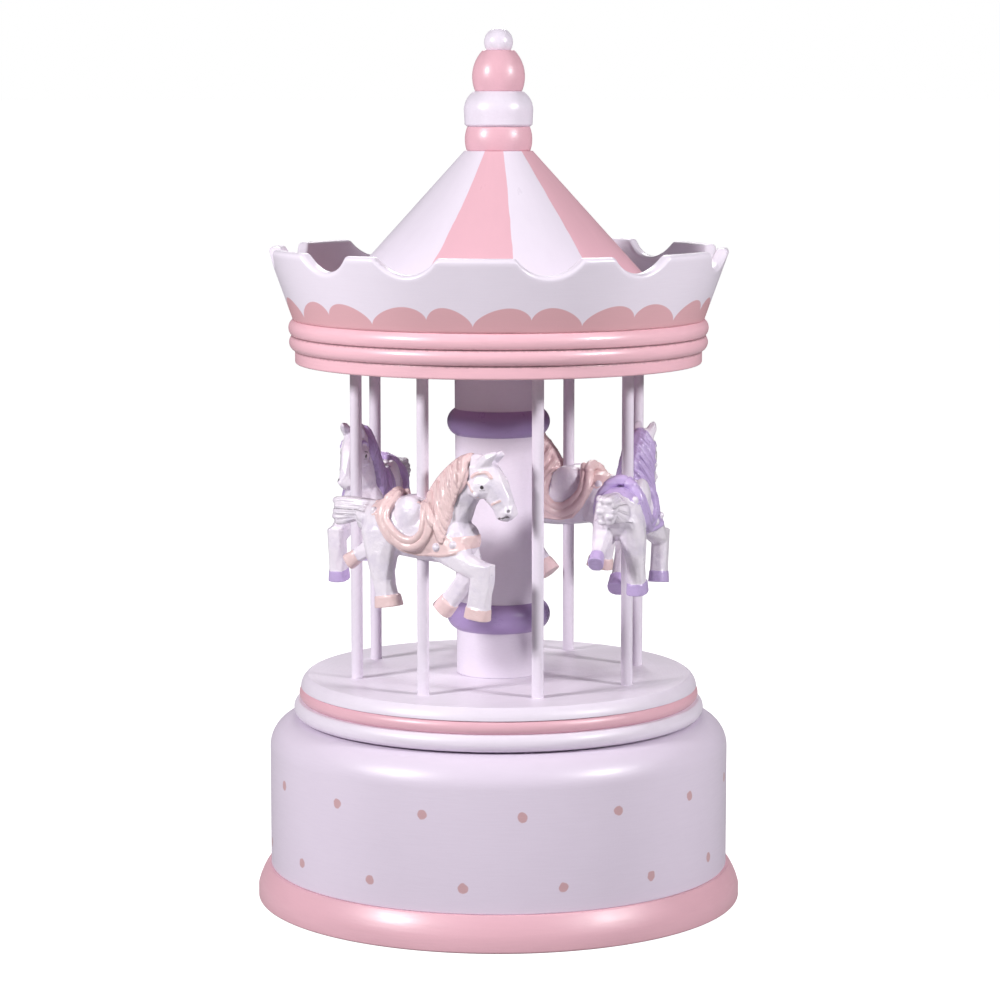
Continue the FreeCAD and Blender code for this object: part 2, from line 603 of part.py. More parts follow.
turned("platform_lower_disc", (
    ("dims.arbor_radius", "dims.platform_under"),
    ("dims.lower_disc_radius", "dims.platform_under", "0.545"),
    ("dims.lower_disc_radius", "dims.platform_joint"),
    ("dims.arbor_radius", "dims.platform_joint"),
))
turned("platform_middle_disc", (
    ("dims.tenon_radius", "dims.platform_joint"),
    ("dims.middle_disc_radius", "dims.platform_joint", "0.55"),
    ("dims.middle_disc_radius", "dims.platform_step"),
    ("dims.tenon_radius", "dims.platform_step"),
))
top_disc = turned("platform_top_disc", (
    ("dims.tenon_radius", "dims.platform_step"),
    ("dims.top_disc_radius", "dims.platform_step", "0.25"),
    ("dims.top_face_radius", "dims.platform_top"),
    ("dims.tenon_radius", "dims.platform_top"),
))
POLES = [spread(f"(dims.first_pole + {45 * k})", "dims.pole_circle") for k in range(8)]
bores(top_disc, "top_disc_sockets", [(x, y, "dims.pole_radius") for x, y in POLES],
      "dims.platform_top", "10")

turned("column", (
    ("dims.arbor_radius", "dims.platform_joint"),
    ("dims.tenon_radius", "dims.platform_joint"),
    ("dims.tenon_radius", "dims.platform_top"),
    ("dims.column_foot", "dims.platform_top"),
    ("dims.column_foot + 0.1", "dims.low_ring_mid - dims.low_ring_half", "0.65"),
    ("dims.column_foot + 0.2", "dims.low_ring_mid + dims.low_ring_half"),
    ("dims.column_head - 0.2", "dims.high_ring_mid - dims.high_ring_half", "0.6"),
    ("dims.column_head - 0.1", "dims.high_ring_mid + dims.high_ring_half"),
    ("dims.column_head", "dims.column_top"),
    ("dims.tenon_radius", "dims.column_top"),
    ("dims.tenon_radius", "dims.tenon_top"),
    ("0", "dims.tenon_top"),
    ("0", "dims.arbor_head"),
    ("dims.arbor_radius", "dims.arbor_head"),
))

for index, (x, y) in enumerate(POLES):
    pole = turned(f"pole_{index + 1}", (
        ("0", "dims.platform_step"), ("dims.pole_radius", "dims.platform_step"),
        ("dims.pole_radius", "dims.pole_top"), ("0", "dims.pole_top"),
    ))
    pole.setExpression(".Placement.Base.x", x)
    pole.setExpression(".Placement.Base.y", y)

# ---- carousel: canopy, roof and finial --------------------------------------

canopy = turned("canopy_disc", (
    ("0", "dims.tenon_top"),
    ("dims.tenon_radius", "dims.tenon_top"),
    ("dims.tenon_radius", "dims.column_top"),
    ("dims.canopy_band - 3.7", "dims.column_top"),
    ("dims.canopy_band - 2.7", "dims.canopy_brim"),
    ("dims.canopy_band - 0.8", "dims.canopy_brim", QUARTER),
    ("dims.canopy_band", "dims.canopy_brim + 0.8"),
    ("dims.canopy_band", "dims.canopy_brim + 4.1"),
    ("dims.canopy_band + 0.5", "dims.canopy_brim + 4.2", "0.45"),
    ("dims.canopy_band + 1.5", "dims.canopy_top - 5.4", "0.4"),
    ("dims.canopy_band + 1.0", "dims.canopy_top"),
    ("0", "dims.canopy_top"),
))
bores(canopy, "canopy_sockets", [(x, y, "dims.pole_radius") for x, y in POLES],
      "dims.column_top", "dims.pole_top - dims.column_top", up=True)

crown = turned("crown", (
    ("dims.crown_foot - dims.crown_wall", "dims.canopy_top"),
    ("dims.crown_foot", "dims.canopy_top"),
    ("dims.crown_lip", "dims.crown_edge", QUARTER),
    ("dims.crown_lip - 1.9", "dims.crown_top"),
    ("dims.crown_lip - dims.crown_wall + 1.4", "dims.crown_top", QUARTER),
    ("dims.crown_lip - dims.crown_wall", "dims.crown_edge + 0.6"),
))
scallops = []
for name, angle in (("notch_a", "dims.notch_first"), ("notch_b", "dims.notch_second")):
    notch = sketch_on(crown, "XZ_Plane", name)
    notch.AttachmentOffset = Placement(Vector(0, 0, 0), Rotation(Vector(0, 1, 0), number(notch, angle)))
    notch.setExpression(".AttachmentOffset.Rotation.Angle", angle)
    circle(notch, "0", "dims.notch_mid", "dims.notch_radius")
    scallops.append(pocket(crown, notch, "dims.crown_lip + 10", up=True))
polar(crown, scallops, "6")

turned("roof_cone", (
    ("0", "dims.canopy_top"), ("dims.cone_foot", "dims.canopy_top"),
    ("dims.cone_head", "dims.cone_top"), ("dims.dowel_radius", "dims.cone_top"),
    ("dims.dowel_radius", "dims.dowel_foot"), ("0", "dims.dowel_foot"),
))
turned("finial_dowel", (
    ("0", "dims.dowel_foot"), ("dims.dowel_radius", "dims.dowel_foot"),
    ("dims.dowel_radius", "dims.dowel_head"), ("0", "dims.dowel_head"),
))
turned("finial_collar", (
    ("dims.dowel_radius", "dims.cone_top"), ("10.9", "dims.cone_top", "0.18"),
    ("10.7", "dims.collar_top"), ("dims.dowel_radius", "dims.collar_top"),
))
turned("finial_bell", (
    ("dims.dowel_radius", "dims.collar_top"), ("10.7", "dims.collar_top"),
    ("11.6", "dims.collar_top + 0.7"), ("11.75", "dims.collar_top + 4.4", "0.3"),
    ("8.3", "dims.bell_top"), ("dims.dowel_radius", "dims.bell_top"),
))
turned("finial_ball", (
    ("dims.dowel_radius", "dims.bell_top"), ("8", "dims.bell_top", "0.3"),
    ("5.4", "dims.ball_top"), ("dims.dowel_radius", "dims.ball_top"),
))
turned("finial_tip", (
    ("dims.dowel_radius", "dims.ball_top"), ("4.09", "dims.ball_top", "0.564278818506"),
    ("0.5", "dims.overall_height"), ("0", "dims.overall_height"),
    ("0", "dims.dowel_head"), ("dims.dowel_radius", "dims.dowel_head"),
))

# ---- carousel: horses -------------------------------------------------------
# A horse is carved in its own frame: X forward, -Y outward, Z up from the middle of its barrel.
# A section is (x, y, z, pitch of its normal, half width, half height).

HORSE = {
    "barrel": (
        (-25.0, 0.0, 2.3, 0, 2.6, 3.2), (-21.5, 0.0, 1.6, 0, 6.4, 7.2),
        (-14.0, 0.0, 1.0, 0, 8.4, 9.0), (-4.0, 0.0, 0.2, 0, 8.6, 9.2), (6.0, 0.0, 0.0, 0, 8.6, 9.7),
        (14.0, 0.0, 0.0, 0, 8.0, 9.8), (20.5, 0.0, -1.0, 0, 6.0, 7.6),
        (24.6, 0.0, -2.4, 0, 2.8, 3.6),
    ),
    "saddle": (
        (-15.5, 0.0, 8.6, 0, 5.0, 3.0), (-12.0, 0.0, 8.0, 0, 8.0, 4.6),
        (-6.0, 0.0, 7.0, 0, 8.8, 3.9), (0.0, 0.0, 7.0, 0, 8.4, 4.0), (4.5, 0.0, 8.0, 0, 5.0, 3.4),
    ),
    "neck": (
        (8.0, 0.0, 3.0, 52, 6.2, 10.5), (14.0, 0.0, 10.8, 48, 5.0, 8.6),
        (19.0, 0.0, 17.2, 42, 4.3, 7.0), (22.5, 0.0, 20.8, 30, 3.2, 4.6),
    ),
    "head": (
        (19.2, 0.0, 22.6, -40, 2.6, 2.6), (23.0, 0.0, 19.8, -52, 4.2, 5.4),
        (27.6, 0.0, 15.6, -58, 4.4, 5.0), (31.0, 0.0, 10.6, -62, 3.4, 3.8),
        (33.0, 0.0, 6.6, -66, 2.2, 2.4),
    ),
    "outer_foreleg": (
        (14.0, -4.4, -3.0, -32, 3.6, 5.8), (21.0, -5.4, -7.0, -36, 3.5, 4.6),
        (27.0, -5.6, -11.4, -76, 3.1, 4.0), (27.4, -5.6, -17.0, -94, 2.8, 3.5),
        (26.6, -5.6, -22.0, -98, 2.8, 3.5), (25.8, -5.6, -27.0, -98, 3.4, 4.3),
    ),
    "inner_foreleg": (
        (12.0, 4.4, -2.4, -58, 3.3, 5.4), (15.6, 4.6, -9.4, -74, 3.0, 4.0),
        (14.6, 4.6, -15.6, -110, 2.6, 3.2), (10.8, 4.6, -20.8, -124, 2.5, 3.4),
        (8.2, 4.6, -24.0, -128, 2.6, 3.6), (5.6, 4.6, -27.2, -128, 3.0, 4.0),
    ),
    "outer_hindleg": (
        (-13.0, -4.2, -2.0, -86, 4.2, 7.8), (-11.8, -5.2, -8.4, -86, 3.8, 6.0),
        (-11.0, -5.6, -13.8, -86, 3.2, 4.4), (-10.2, -5.6, -18.4, -82, 2.8, 3.8),
        (-9.6, -5.6, -21.4, -80, 2.9, 4.0), (-9.0, -5.6, -24.8, -80, 3.4, 4.9),
    ),
    "inner_hindleg": (
        (-15.0, 4.0, -3.0, -138, 4.2, 6.8), (-20.4, 4.2, -6.0, -150, 3.4, 5.2),
        (-25.4, 4.0, -8.6, -152, 2.8, 3.8), (-28.4, 3.8, -10.5, -148, 2.6, 3.2),
        (-32.2, 3.6, -12.9, -148, 2.9, 3.4),
    ),
    "tail": (
        (-19.0, 0.0, 7.0, 180, 2.6, 2.6), (-24.0, 0.0, 6.4, 180, 3.2, 3.1),
        (-29.0, 0.0, 5.4, 180, 4.0, 4.0), (-34.8, 0.0, 4.6, 180, 4.4, 4.6),
    ),
    "outer_ear": (
        (24.6, -2.7, 22.0, 50, 1.5, 1.9), (27.2, -3.0, 25.4, 55, 1.4, 1.6),
        (29.4, -3.0, 29.0, 60, 0.5, 0.5),
    ),
    "inner_ear": (
        (24.6, 2.7, 22.0, 50, 1.5, 1.9), (27.2, 3.0, 25.4, 55, 1.4, 1.6),
        (29.4, 3.0, 29.0, 60, 0.5, 0.5),
    ),
}


def carve(body, name, sections):
    """Loft one part of the horse through its oval sections."""
    ovals = []
    for index, (x, y, z, pitch, wide, tall) in enumerate(sections):
        oval = sketch_on(body, "YZ_Plane", f"{body.Name}_{name}_{index + 1}")
        oval.AttachmentOffset = Placement(Vector(y, z, x), Rotation(Vector(1, 0, 0), -pitch))
        oval.setExpression(".AttachmentOffset.Base.x", f"{y} * dims.horse_scale")
        oval.setExpression(".AttachmentOffset.Base.y", f"dims.horse_height + {z} * dims.horse_scale")
        oval.setExpression(".AttachmentOffset.Base.z", f"{x} * dims.horse_scale")
        ellipse(oval, f"{wide} * dims.horse_scale", f"{tall} * dims.horse_scale")
        ovals.append(oval)
    loft = body.newObject("PartDesign::AdditiveLoft", f"{body.Name}_{name}")
    loft.Profile = ovals[0]
    loft.Sections = ovals[1:]


for index, quarter in enumerate((0, 90, 180, -90)):
    horse = new_body(f"horse_{index + 1}")
    for name, sections in HORSE.items():
        carve(horse, name, sections)
    bores(horse, f"horse_{index + 1}_bore", [("0", "0", "dims.pole_radius")], "90", "100", up=True)
    angle = f"dims.first_pole + {quarter}"
    x, y = spread(f"({angle})", "dims.pole_circle")
    horse.Placement = Placement(Vector(0, 0, 0), Rotation(Vector(0, 0, 1), 1))
    horse.setExpression(".Placement.Base.x", x)
    horse.setExpression(".Placement.Base.y", y)
    if index % 2:
        horse.setExpression(".Placement.Base.z", "dims.high_horse_lift")
        angle = f"{angle} + dims.high_horse_turn"
    horse.setExpression(".Placement.Rotation.Yaw", angle)

# ---- check and write --------------------------------------------------------

doc.recompute()
nodes = [item for item in doc.Objects if item.TypeId in ("PartDesign::Body", "Part::Sweep")]
broken = [item.Name for item in doc.Objects if "Invalid" in item.State or "Error" in item.State]
if broken:
    raise RuntimeError(f"did not build: {broken}")
os.makedirs("parts", exist_ok=True)
for node in nodes:
    if node.Shape.isNull() or not node.Shape.isValid() or not node.Shape.Solids:
        raise RuntimeError(f"{node.Label} is not a sound solid")
    node.Shape.exportStep(f"parts/{node.Label}.step")
    print(node.Label, len(node.Shape.Solids), round(node.Shape.Volume, 2))
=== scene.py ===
"""Looks of the carousel music box: turned and painted wood, four carved horses and the movement."""

import json
import math

import bmesh
import bpy
import numpy as np
from mathutils import Matrix, Vector
from mathutils.bvhtree import BVHTree

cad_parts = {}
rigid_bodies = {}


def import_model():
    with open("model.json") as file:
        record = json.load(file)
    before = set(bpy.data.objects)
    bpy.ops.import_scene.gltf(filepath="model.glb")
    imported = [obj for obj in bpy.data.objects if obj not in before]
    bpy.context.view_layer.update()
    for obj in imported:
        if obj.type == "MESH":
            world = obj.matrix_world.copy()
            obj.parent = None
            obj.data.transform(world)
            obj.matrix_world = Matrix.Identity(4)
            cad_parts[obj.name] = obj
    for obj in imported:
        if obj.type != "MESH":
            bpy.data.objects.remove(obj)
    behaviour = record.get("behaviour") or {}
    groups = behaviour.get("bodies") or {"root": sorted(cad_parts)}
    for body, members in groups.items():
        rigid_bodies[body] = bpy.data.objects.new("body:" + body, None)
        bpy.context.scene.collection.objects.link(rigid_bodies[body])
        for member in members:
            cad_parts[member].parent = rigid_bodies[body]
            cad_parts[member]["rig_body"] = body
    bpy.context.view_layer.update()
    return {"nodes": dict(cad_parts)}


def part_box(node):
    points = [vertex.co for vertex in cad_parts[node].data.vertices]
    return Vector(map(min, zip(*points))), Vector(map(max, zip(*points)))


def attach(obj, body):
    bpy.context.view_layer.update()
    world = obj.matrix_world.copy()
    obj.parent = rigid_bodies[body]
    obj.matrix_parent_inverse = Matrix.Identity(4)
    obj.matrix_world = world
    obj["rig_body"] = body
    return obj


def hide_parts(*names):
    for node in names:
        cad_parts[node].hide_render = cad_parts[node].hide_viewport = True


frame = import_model()
MM = 0.001  # metres
ARC_STEP = 7  # degrees between the points of an arc
NEARLY_STRAIGHT = math.radians(155)  # a corner more open than this isn't rounded

# ---- meshes -----------------------------------------------------------------


def make_mesh(name, points, faces):
    """A smooth-shaded mesh with its faces turned outward; points are in millimetres."""
    mesh = bpy.data.meshes.new(name)
    mesh.from_pydata([Vector(p) * MM for p in points], [], faces)
    work = bmesh.new()
    work.from_mesh(mesh)
    bmesh.ops.recalc_face_normals(work, faces=work.faces)
    work.to_mesh(mesh)
    work.free()
    mesh.shade_smooth()
    return mesh


def skin(rings, looped=False):
    """Points and faces over successive rings; a ring of one point closes to a tip."""
    points, faces, starts = [], [], []
    for ring in rings:
        starts.append(len(points))
        points.extend(ring)
    count = len(rings)
    for k in range(count if looped else count - 1):
        one, two = rings[k], rings[(k + 1) % count]
        a, b = starts[k], starts[(k + 1) % count]
        sides = max(len(one), len(two))
        for i in range(sides):
            j = (i + 1) % sides
            corners = [a + i, a + j, b + j, b + i]
            if len(one) == 1:
                corners = [a, b + j, b + i]
            if len(two) == 1:
                corners = [a + i, a + j, b]
            if len(one) > 1 or len(two) > 1:
                faces.append(corners)
    return points, faces


def with_arcs(outline):
    """The outline's points with its arcs divided; a third value is the bulge to the next point."""
    points = []
    for (r0, z0, *bulge), (r1, z1, *_) in zip(outline, outline[1:] + outline[:1]):
        start, end = Vector((r0, z0)), Vector((r1, z1))
        points.append(start)
        if bulge:
            sweep = 4 * math.atan(bulge[0])
            chord = end - start
            rise = chord.length / 2 / math.tan(sweep / 2)
            centre = (start + end) / 2 + Vector((-chord.y, chord.x)).normalized() * rise
            steps = max(4, round(math.degrees(abs(sweep)) / ARC_STEP))
            for k in range(1, steps):
                swing = Matrix.Rotation(sweep * k / steps, 2)
                points.append(centre + swing @ (start - centre))
    return points


def softened(points, reach):
    """The closed outline with each sharp corner rounded."""
    rounded = []
    for k, here in enumerate(points):
        back, on = points[k - 1] - here, points[(k + 1) % len(points)] - here
        if here.x < 1e-6 or back.angle(on) > NEARLY_STRAIGHT:
            rounded.append(here)
            continue
        size = min(reach, back.length * 0.3, on.length * 0.3)
        back, on = back.normalized() * size, on.normalized() * size
        rounded.append(here + back * 1.5)
        for t in (0, 0.25, 0.5, 0.75, 1):
            rounded.append(here + back * (1 - t) ** 2 + on * t ** 2)
        rounded.append(here + on * 1.5)
    return rounded


def turn(node, outline, material, soft=0.35, segments=288, bands=()):
    """A turned piece that stands for a CAD node, fitted to that node's box.

    The outline holds (radius, height) points, and bands are (lowest, highest, material) zones.
    """
    low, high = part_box(node)
    middle = (low + high) / 2
    points = softened(with_arcs(outline), soft)
    foot, head = min(p.y for p in points), max(p.y for p in points)
    reach = max(p.x for p in points)
    wide = (high.x - low.x) / 2 / MM / reach
    tall = (high.z - low.z) / MM / (head - foot)
    rings = []
    for r, z in points:
        height = low.z / MM + (z - foot) * tall
        if r < 1e-6:
            rings.append([(middle.x / MM, middle.y / MM, height)])
            continue
        ring = []
        for k in range(segments):
            a = math.tau * k / segments
            x = middle.x / MM + r * wide * math.cos(a)
            y = middle.y / MM + r * wide * math.sin(a)
            ring.append((x, y, height))
        rings.append(ring)
    mesh = make_mesh(f"{node}_painted", *skin(rings, looped=points[0].x > 1e-6))
    for paint in (material, *(band[2] for band in bands)):
        mesh.materials.append(paint)
    for slot, (start, end, _) in enumerate(bands):
        for face in mesh.polygons:
            if start < face.center.z / MM < end:
                face.material_index = slot + 1
    return placed(mesh, node)


def placed(mesh, node, matrix=None):
    """Puts a mesh in the scene in the place of a CAD node."""
    piece = bpy.data.objects.new(f"{node}_painted", mesh)
    bpy.context.scene.collection.objects.link(piece)
    if matrix:
        piece.matrix_world = matrix
    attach(piece, frame["nodes"][node]["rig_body"])
    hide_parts(node)
    return piece


# ---- materials --------------------------------------------------------------


def srgb(*channels):
    """A colour given as 0 to 255 screen values, made linear."""
    line = [c / 255 for c in channels]
    return (*(c / 12.92 if c <= 0.04045 else ((c + 0.055) / 1.055) ** 2.4 for c in line), 1)


def shaded(colour, share):
    """The colour made darker, or lighter where the share is above 1."""
    return (*(min(1.0, c * share) for c in colour[:3]), 1)


class Finish:
    """One material and the nodes that make it. Coordinates are in millimetres."""

    def __init__(self, name, **constants):
        self.material = bpy.data.materials.new(name)
        self.material.use_nodes = True
        self.tree = self.material.node_tree
        self.shader = self.tree.nodes["Principled BSDF"]
        for key, value in constants.items():
            self.shader.inputs[key.replace("_", " ")].default_value = value
        metres = self.add("TexCoord").outputs["Object"]
        self.place = self.add("VectorMath", metres, None, None, 1000.0, operation="SCALE").outputs[0]
        self.x, self.y, self.z = self.add("SeparateXYZ", self.place).outputs
        self.radius = self.length(self.x, self.y)

    def add(self, kind, *values, **settings):
        """A node; values go to its inputs in order, and None leaves one alone."""
        node = self.tree.nodes.new("ShaderNode" + kind)
        for key, value in settings.items():
            setattr(node, key, value)
        for socket, value in zip(node.inputs, values):
            if isinstance(value, bpy.types.NodeSocket):
                self.tree.links.new(value, socket)
            elif value is not None:
                socket.default_value = value
        return node

    def math(self, operation, *values):
        """The result of a Math node."""
        return self.add("Math", *values, operation=operation).outputs[0]

    def mix(self, amount, one, two):
        """The first colour turning to the second as the amount goes from 0 to 1."""
        return self.add("MixRGB", amount, one, two).outputs[0]

    def tinted(self, colour, tint):
        """The colour multiplied by a tint."""
        return self.add("MixRGB", 1.0, colour, tint, blend_type="MULTIPLY").outputs[0]

    def spread(self, value, start, end, low, high):
        """Maps a value from one range to another, held inside it."""
        return self.add("MapRange", value, start, end, low, high).outputs[0]

    def noise(self, scale, detail=2.0, rough=0.5, at=None, stretch=None):
        """Noise of about 0 to 1 with scale waves a millimetre."""
        place = at or self.place
        if stretch:
            place = self.add("VectorMath", place, stretch, operation="MULTIPLY").outputs[0]
        node = self.add("TexNoise", place)
        for key, value in (("Scale", scale), ("Detail", detail), ("Roughness", rough)):
            node.inputs[key].default_value = value
        return node.outputs[0]

    def angle(self):
        """Degrees round the axis, 0 at the front and growing to the right."""
        turned = self.math("ARCTAN2", self.x, self.math("MULTIPLY", self.y, -1.0))
        return self.math("MULTIPLY", turned, 180 / math.pi)

    def around(self, along, across):
        """A place whose noise runs in streaks round the axis, with no seam."""
        height = self.math("MULTIPLY", self.math("ADD", self.z, self.radius), across)
        flat = []
        for axis in (self.x, self.y):
            flat.append(self.math("MULTIPLY", self.math("DIVIDE", axis, self.radius), along))
        return self.add("CombineXYZ", *flat, height).outputs[0]

    def length(self, one, two):
        """The length of a line with these two sides."""
        return self.math("SQRT", self.math("ADD", self.math("MULTIPLY", one, one),
                                           self.math("MULTIPLY", two, two)))

    def turn_share(self, angle):
        """Degrees from -180 to 180 as a share of the turn, for a colour ramp."""
        return self.math("DIVIDE", self.math("ADD", angle, 180.0), 360.0)

    def colour(self, value):
        """Gives the shader its base colour."""
        self.tree.links.new(value, self.shader.inputs["Base Color"])

    def roughness(self, value):
        """Gives the shader its roughness."""
        self.tree.links.new(value, self.shader.inputs["Roughness"])

    def relief(self, *layers):
        """Bump from (height, depth in millimetres) layers, one over the other."""
        normal = None
        for height, depth in layers:
            bump = self.add("Bump")
            bump.inputs["Strength"].default_value = 1.0
            bump.inputs["Distance"].default_value = depth * MM
            self.tree.links.new(height, bump.inputs["Height"])
            if normal:
                self.tree.links.new(normal, bump.inputs["Normal"])
            normal = bump.outputs[0]
        self.tree.links.new(normal, self.shader.inputs["Normal"])


WHITE = srgb(233, 223, 237)
SHELL = srgb(224, 211, 229)
PINK = srgb(230, 180, 193)
ROSE = srgb(218, 168, 176)
DUSTY = srgb(203, 163, 169)
LILAC = srgb(168, 145, 192)
PEACH = srgb(230, 200, 201)
CANOPY = srgb(241, 190, 202)
MAUVE = srgb(190, 168, 214)
HORSE_WHITE = srgb(235, 226, 237)
HORSE_WASH = srgb(216, 206, 224)
FACE_LINES = srgb(52, 42, 50)


def brushed(finish, base, streak=0.5, speckle=0.3, gloss=0.36):
    """Satin paint brushed on a turned piece: faint streaks round it, mottling and fine orange peel."""
    streaks = finish.noise(1.0, 4.0, 0.6, at=finish.around(9.0, 1.6))
    mottle = finish.noise(0.035, 3.0, 0.55)
    peel = finish.noise(1.3, 2.0, 0.5)
    darker = finish.tinted(base, (0.80, 0.77, 0.80, 1))
    amount = finish.math("ADD", finish.spread(streaks, 0.35, 0.75, 0.0, 0.3 * streak),
                         finish.spread(mottle, 0.35, 0.7, 0.0, 0.3 * speckle))
    finish.colour(finish.mix(amount, base, darker))
    finish.roughness(finish.math("ADD", finish.spread(mottle, 0.3, 0.7, gloss - 0.05, gloss + 0.06),
                                 finish.spread(streaks, 0.3, 0.7, -0.03, 0.05)))
    finish.relief((peel, 0.012), (streaks, 0.02 + 0.05 * streak))
    return finish.material


def plain_paint(name, base, streak=0.5, speckle=0.3, gloss=0.36):
    """One colour of brushed paint, a little uneven from place to place."""
    finish = Finish(name, Coat_Weight=0.12, Coat_Roughness=0.25)
    uneven = finish.spread(finish.noise(0.012, 1.0), 0.4, 0.6, 0.0, 1.0)
    return brushed(finish, finish.mix(uneven, base, shaded(base, 0.97)), streak, speckle, gloss)


def grooved_paint(name, base, grooves):
    """Pink paint brushed round a beaded rim, with painted shade darkening its grooves."""
    finish = Finish(name, Coat_Weight=0.3, Coat_Roughness=0.16)
    grain = finish.spread(finish.noise(1.0, 4.0, 0.65, at=finish.around(40.0, 1.2)), 0.3, 0.7, -0.22, 0.22)
    # painted shade: a dark line along each groove between the beads
    painted_shade = None
    for height in grooves:
        away = finish.math("ABSOLUTE", finish.math("SUBTRACT", finish.z, height))
        line = finish.spread(finish.math("ADD", away, grain), 0.1, 0.6, 0.7, 0.0)
        painted_shade = finish.math("MAXIMUM", painted_shade, line) if painted_shade else line
    painted = finish.mix(painted_shade, base, shaded(base, 0.42))
    return brushed(finish, painted, streak=0.9, speckle=0.5, gloss=0.34)


DOT_ROWS = ((0.667, 5.7), (0.243, 15.6))  # share of the drum's height, angle of the first dot
DOT_STEP = 360 / 15  # degrees
DOT_RADIUS = 1.65
CROWN_FOOT = 201.2
CROWN_RADIUS = 70.5  # outside, at the foot
CROWN_FLARE = 7.9 / 22.1  # millimetres outward for each one up
SCALLOP_CUSPS = (  # degrees round the crown, spaced as a hand spaced them
    -171.5, -155.4, -141.3, -125.2, -111.6, -95.4, -80.9, -65.3, -50.6, -35.1, -18.7, -6.7,
    8.5, 22.2, 37.8, 53.9, 69.5, 83.8, 99.6, 113.7, 128.9, 145.0, 158.6, 173.8,
)
SCALLOP_FOOT = 3.2  # millimetres from the crown's foot to a cusp
SCALLOP_RISE = 5.0
SCALLOP_ROUNDNESS = 0.62
CUSP_UNEVENNESS = 1.1  # every second cusp is higher by this much, and the others lower
STRIPE_EDGES = (-172, -134, -96, -33, 5.5, 38, 94, 138)  # degrees round the roof
STRIPE_LEAN = (-1.0, 11.0)  # degrees at the roof's foot and at its top
LEAN_MIDDLE = -33.0  # degrees; the lean is full here
LEAN_REACH = 40.0  # degrees from there to where it falls to its least
LEAN_LEAST = 0.22  # share of the full lean


def dotted_paint(name):
    """White with two staggered rows of hand-painted dots, 15 to a row."""
    finish = Finish(name, Coat_Weight=0.12, Coat_Roughness=0.25)
    low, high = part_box("base_drum")
    tall = (high.z - low.z) / MM
    degree = high.x / MM * math.pi / 180  # millimetres round the drum
    wobble = finish.spread(finish.noise(0.45, 1.0), 0.3, 0.7, -0.22, 0.22)
    angle = finish.angle()
    dots = None
    for share, first in DOT_ROWS:
        swing = finish.math("WRAP", finish.math("SUBTRACT", angle, first), DOT_STEP / 2, -DOT_STEP / 2)
        across = finish.math("MULTIPLY", swing, degree)
        rise = finish.math("SUBTRACT", finish.z, low.z / MM + share * tall)
        away = finish.length(across, rise)
        away = finish.math("ADD", away, wobble)
        dot = finish.spread(away, DOT_RADIUS - 0.15, DOT_RADIUS + 0.15, 1.0, 0.0)
        dots = finish.math("MAXIMUM", dots, dot) if dots else dot
    return brushed(finish, finish.mix(dots, SHELL, DUSTY), streak=0.35)


def scalloped_paint(name):
    """White with a painted row of scallops along the foot of the crown, 24 to the turn."""
    finish = Finish(name, Coat_Weight=0.12, Coat_Roughness=0.25)
    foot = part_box("crown")[0].z / MM
    ramp = finish.add("ValToRGB", finish.turn_share(finish.angle()))
    stops = ramp.color_ramp.elements
    whole = len(SCALLOP_CUSPS) + 1
    for stop, position, number in ((stops[0], 0.0, 0.4), (stops[1], 1.0, whole - 0.6)):
        stop.position = position
        stop.color = (*[number / whole] * 3, 1)
    for number, cusp in enumerate(SCALLOP_CUSPS, 1):
        stops.new((cusp + 180) / 360).color = (*[number / whole] * 3, 1)
    level = finish.add("SeparateXYZ", ramp.outputs[0]).outputs[0]
    number = finish.math("MULTIPLY", level, float(whole))
    across = finish.math("SUBTRACT", finish.math("MULTIPLY", finish.math("FRACT", number), 2.0), 1.0)
    arch = finish.math("POWER", finish.math("SUBTRACT", 1.0, finish.math("MULTIPLY", across, across)),
                       SCALLOP_ROUNDNESS)
    swing = finish.math("COSINE", finish.math("MULTIPLY", number, math.pi))
    uneven = finish.math("MULTIPLY", swing, -CUSP_UNEVENNESS)
    rise = finish.math("ADD", finish.math("MULTIPLY", arch, SCALLOP_RISE), uneven)
    edge = finish.math("ADD", rise, foot + SCALLOP_FOOT)
    below = finish.spread(finish.math("SUBTRACT", finish.z, edge), -0.12, 0.12, 1.0, 0.0)
    flare = finish.math("MULTIPLY", finish.z, CROWN_FLARE)
    outside = finish.spread(finish.math("SUBTRACT", finish.radius, flare), -3.0, -2.6, 0.0, 1.0)
    painted = finish.math("MULTIPLY", below, outside)
    return brushed(finish, finish.mix(painted, WHITE, ROSE), streak=0.3)


def striped_paint(name):
    """Broad pink and white stripes down the roof, leaning a little as a hand-held brush leaves them."""
    finish = Finish(name, Coat_Weight=0.15, Coat_Roughness=0.2)
    angle = finish.angle()
    low, high = (edge.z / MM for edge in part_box("roof_cone"))
    full = finish.spread(finish.z, low, high, *STRIPE_LEAN)
    away = finish.math("ABSOLUTE", finish.math("SUBTRACT", angle, LEAN_MIDDLE))
    lean = finish.math("MULTIPLY", full, finish.spread(away, 0.0, LEAN_REACH, 1.0, LEAN_LEAST))
    wobble = finish.spread(finish.noise(0.12, 2.0), 0.3, 0.7, -0.3, 0.3)
    turned = finish.math("ADD", finish.math("SUBTRACT", angle, lean), wobble)
    ramp = finish.add("ValToRGB", finish.turn_share(turned))
    ramp.color_ramp.interpolation = "CONSTANT"
    stops = ramp.color_ramp.elements
    stops.remove(stops[1])
    stops[0].position, stops[0].color = 0.0, (1, 1, 1, 1)
    for k, edge in enumerate(STRIPE_EDGES):
        stops.new((edge + 180) / 360).color = (*[k % 2] * 3, 1)
    return brushed(finish, finish.mix(ramp.outputs[0], WHITE, PINK), streak=0.3, gloss=0.33)


# ---- turned pieces ----------------------------------------------------------

QUARTER = math.tan(math.pi / 8)  # the bulge of a quarter circle

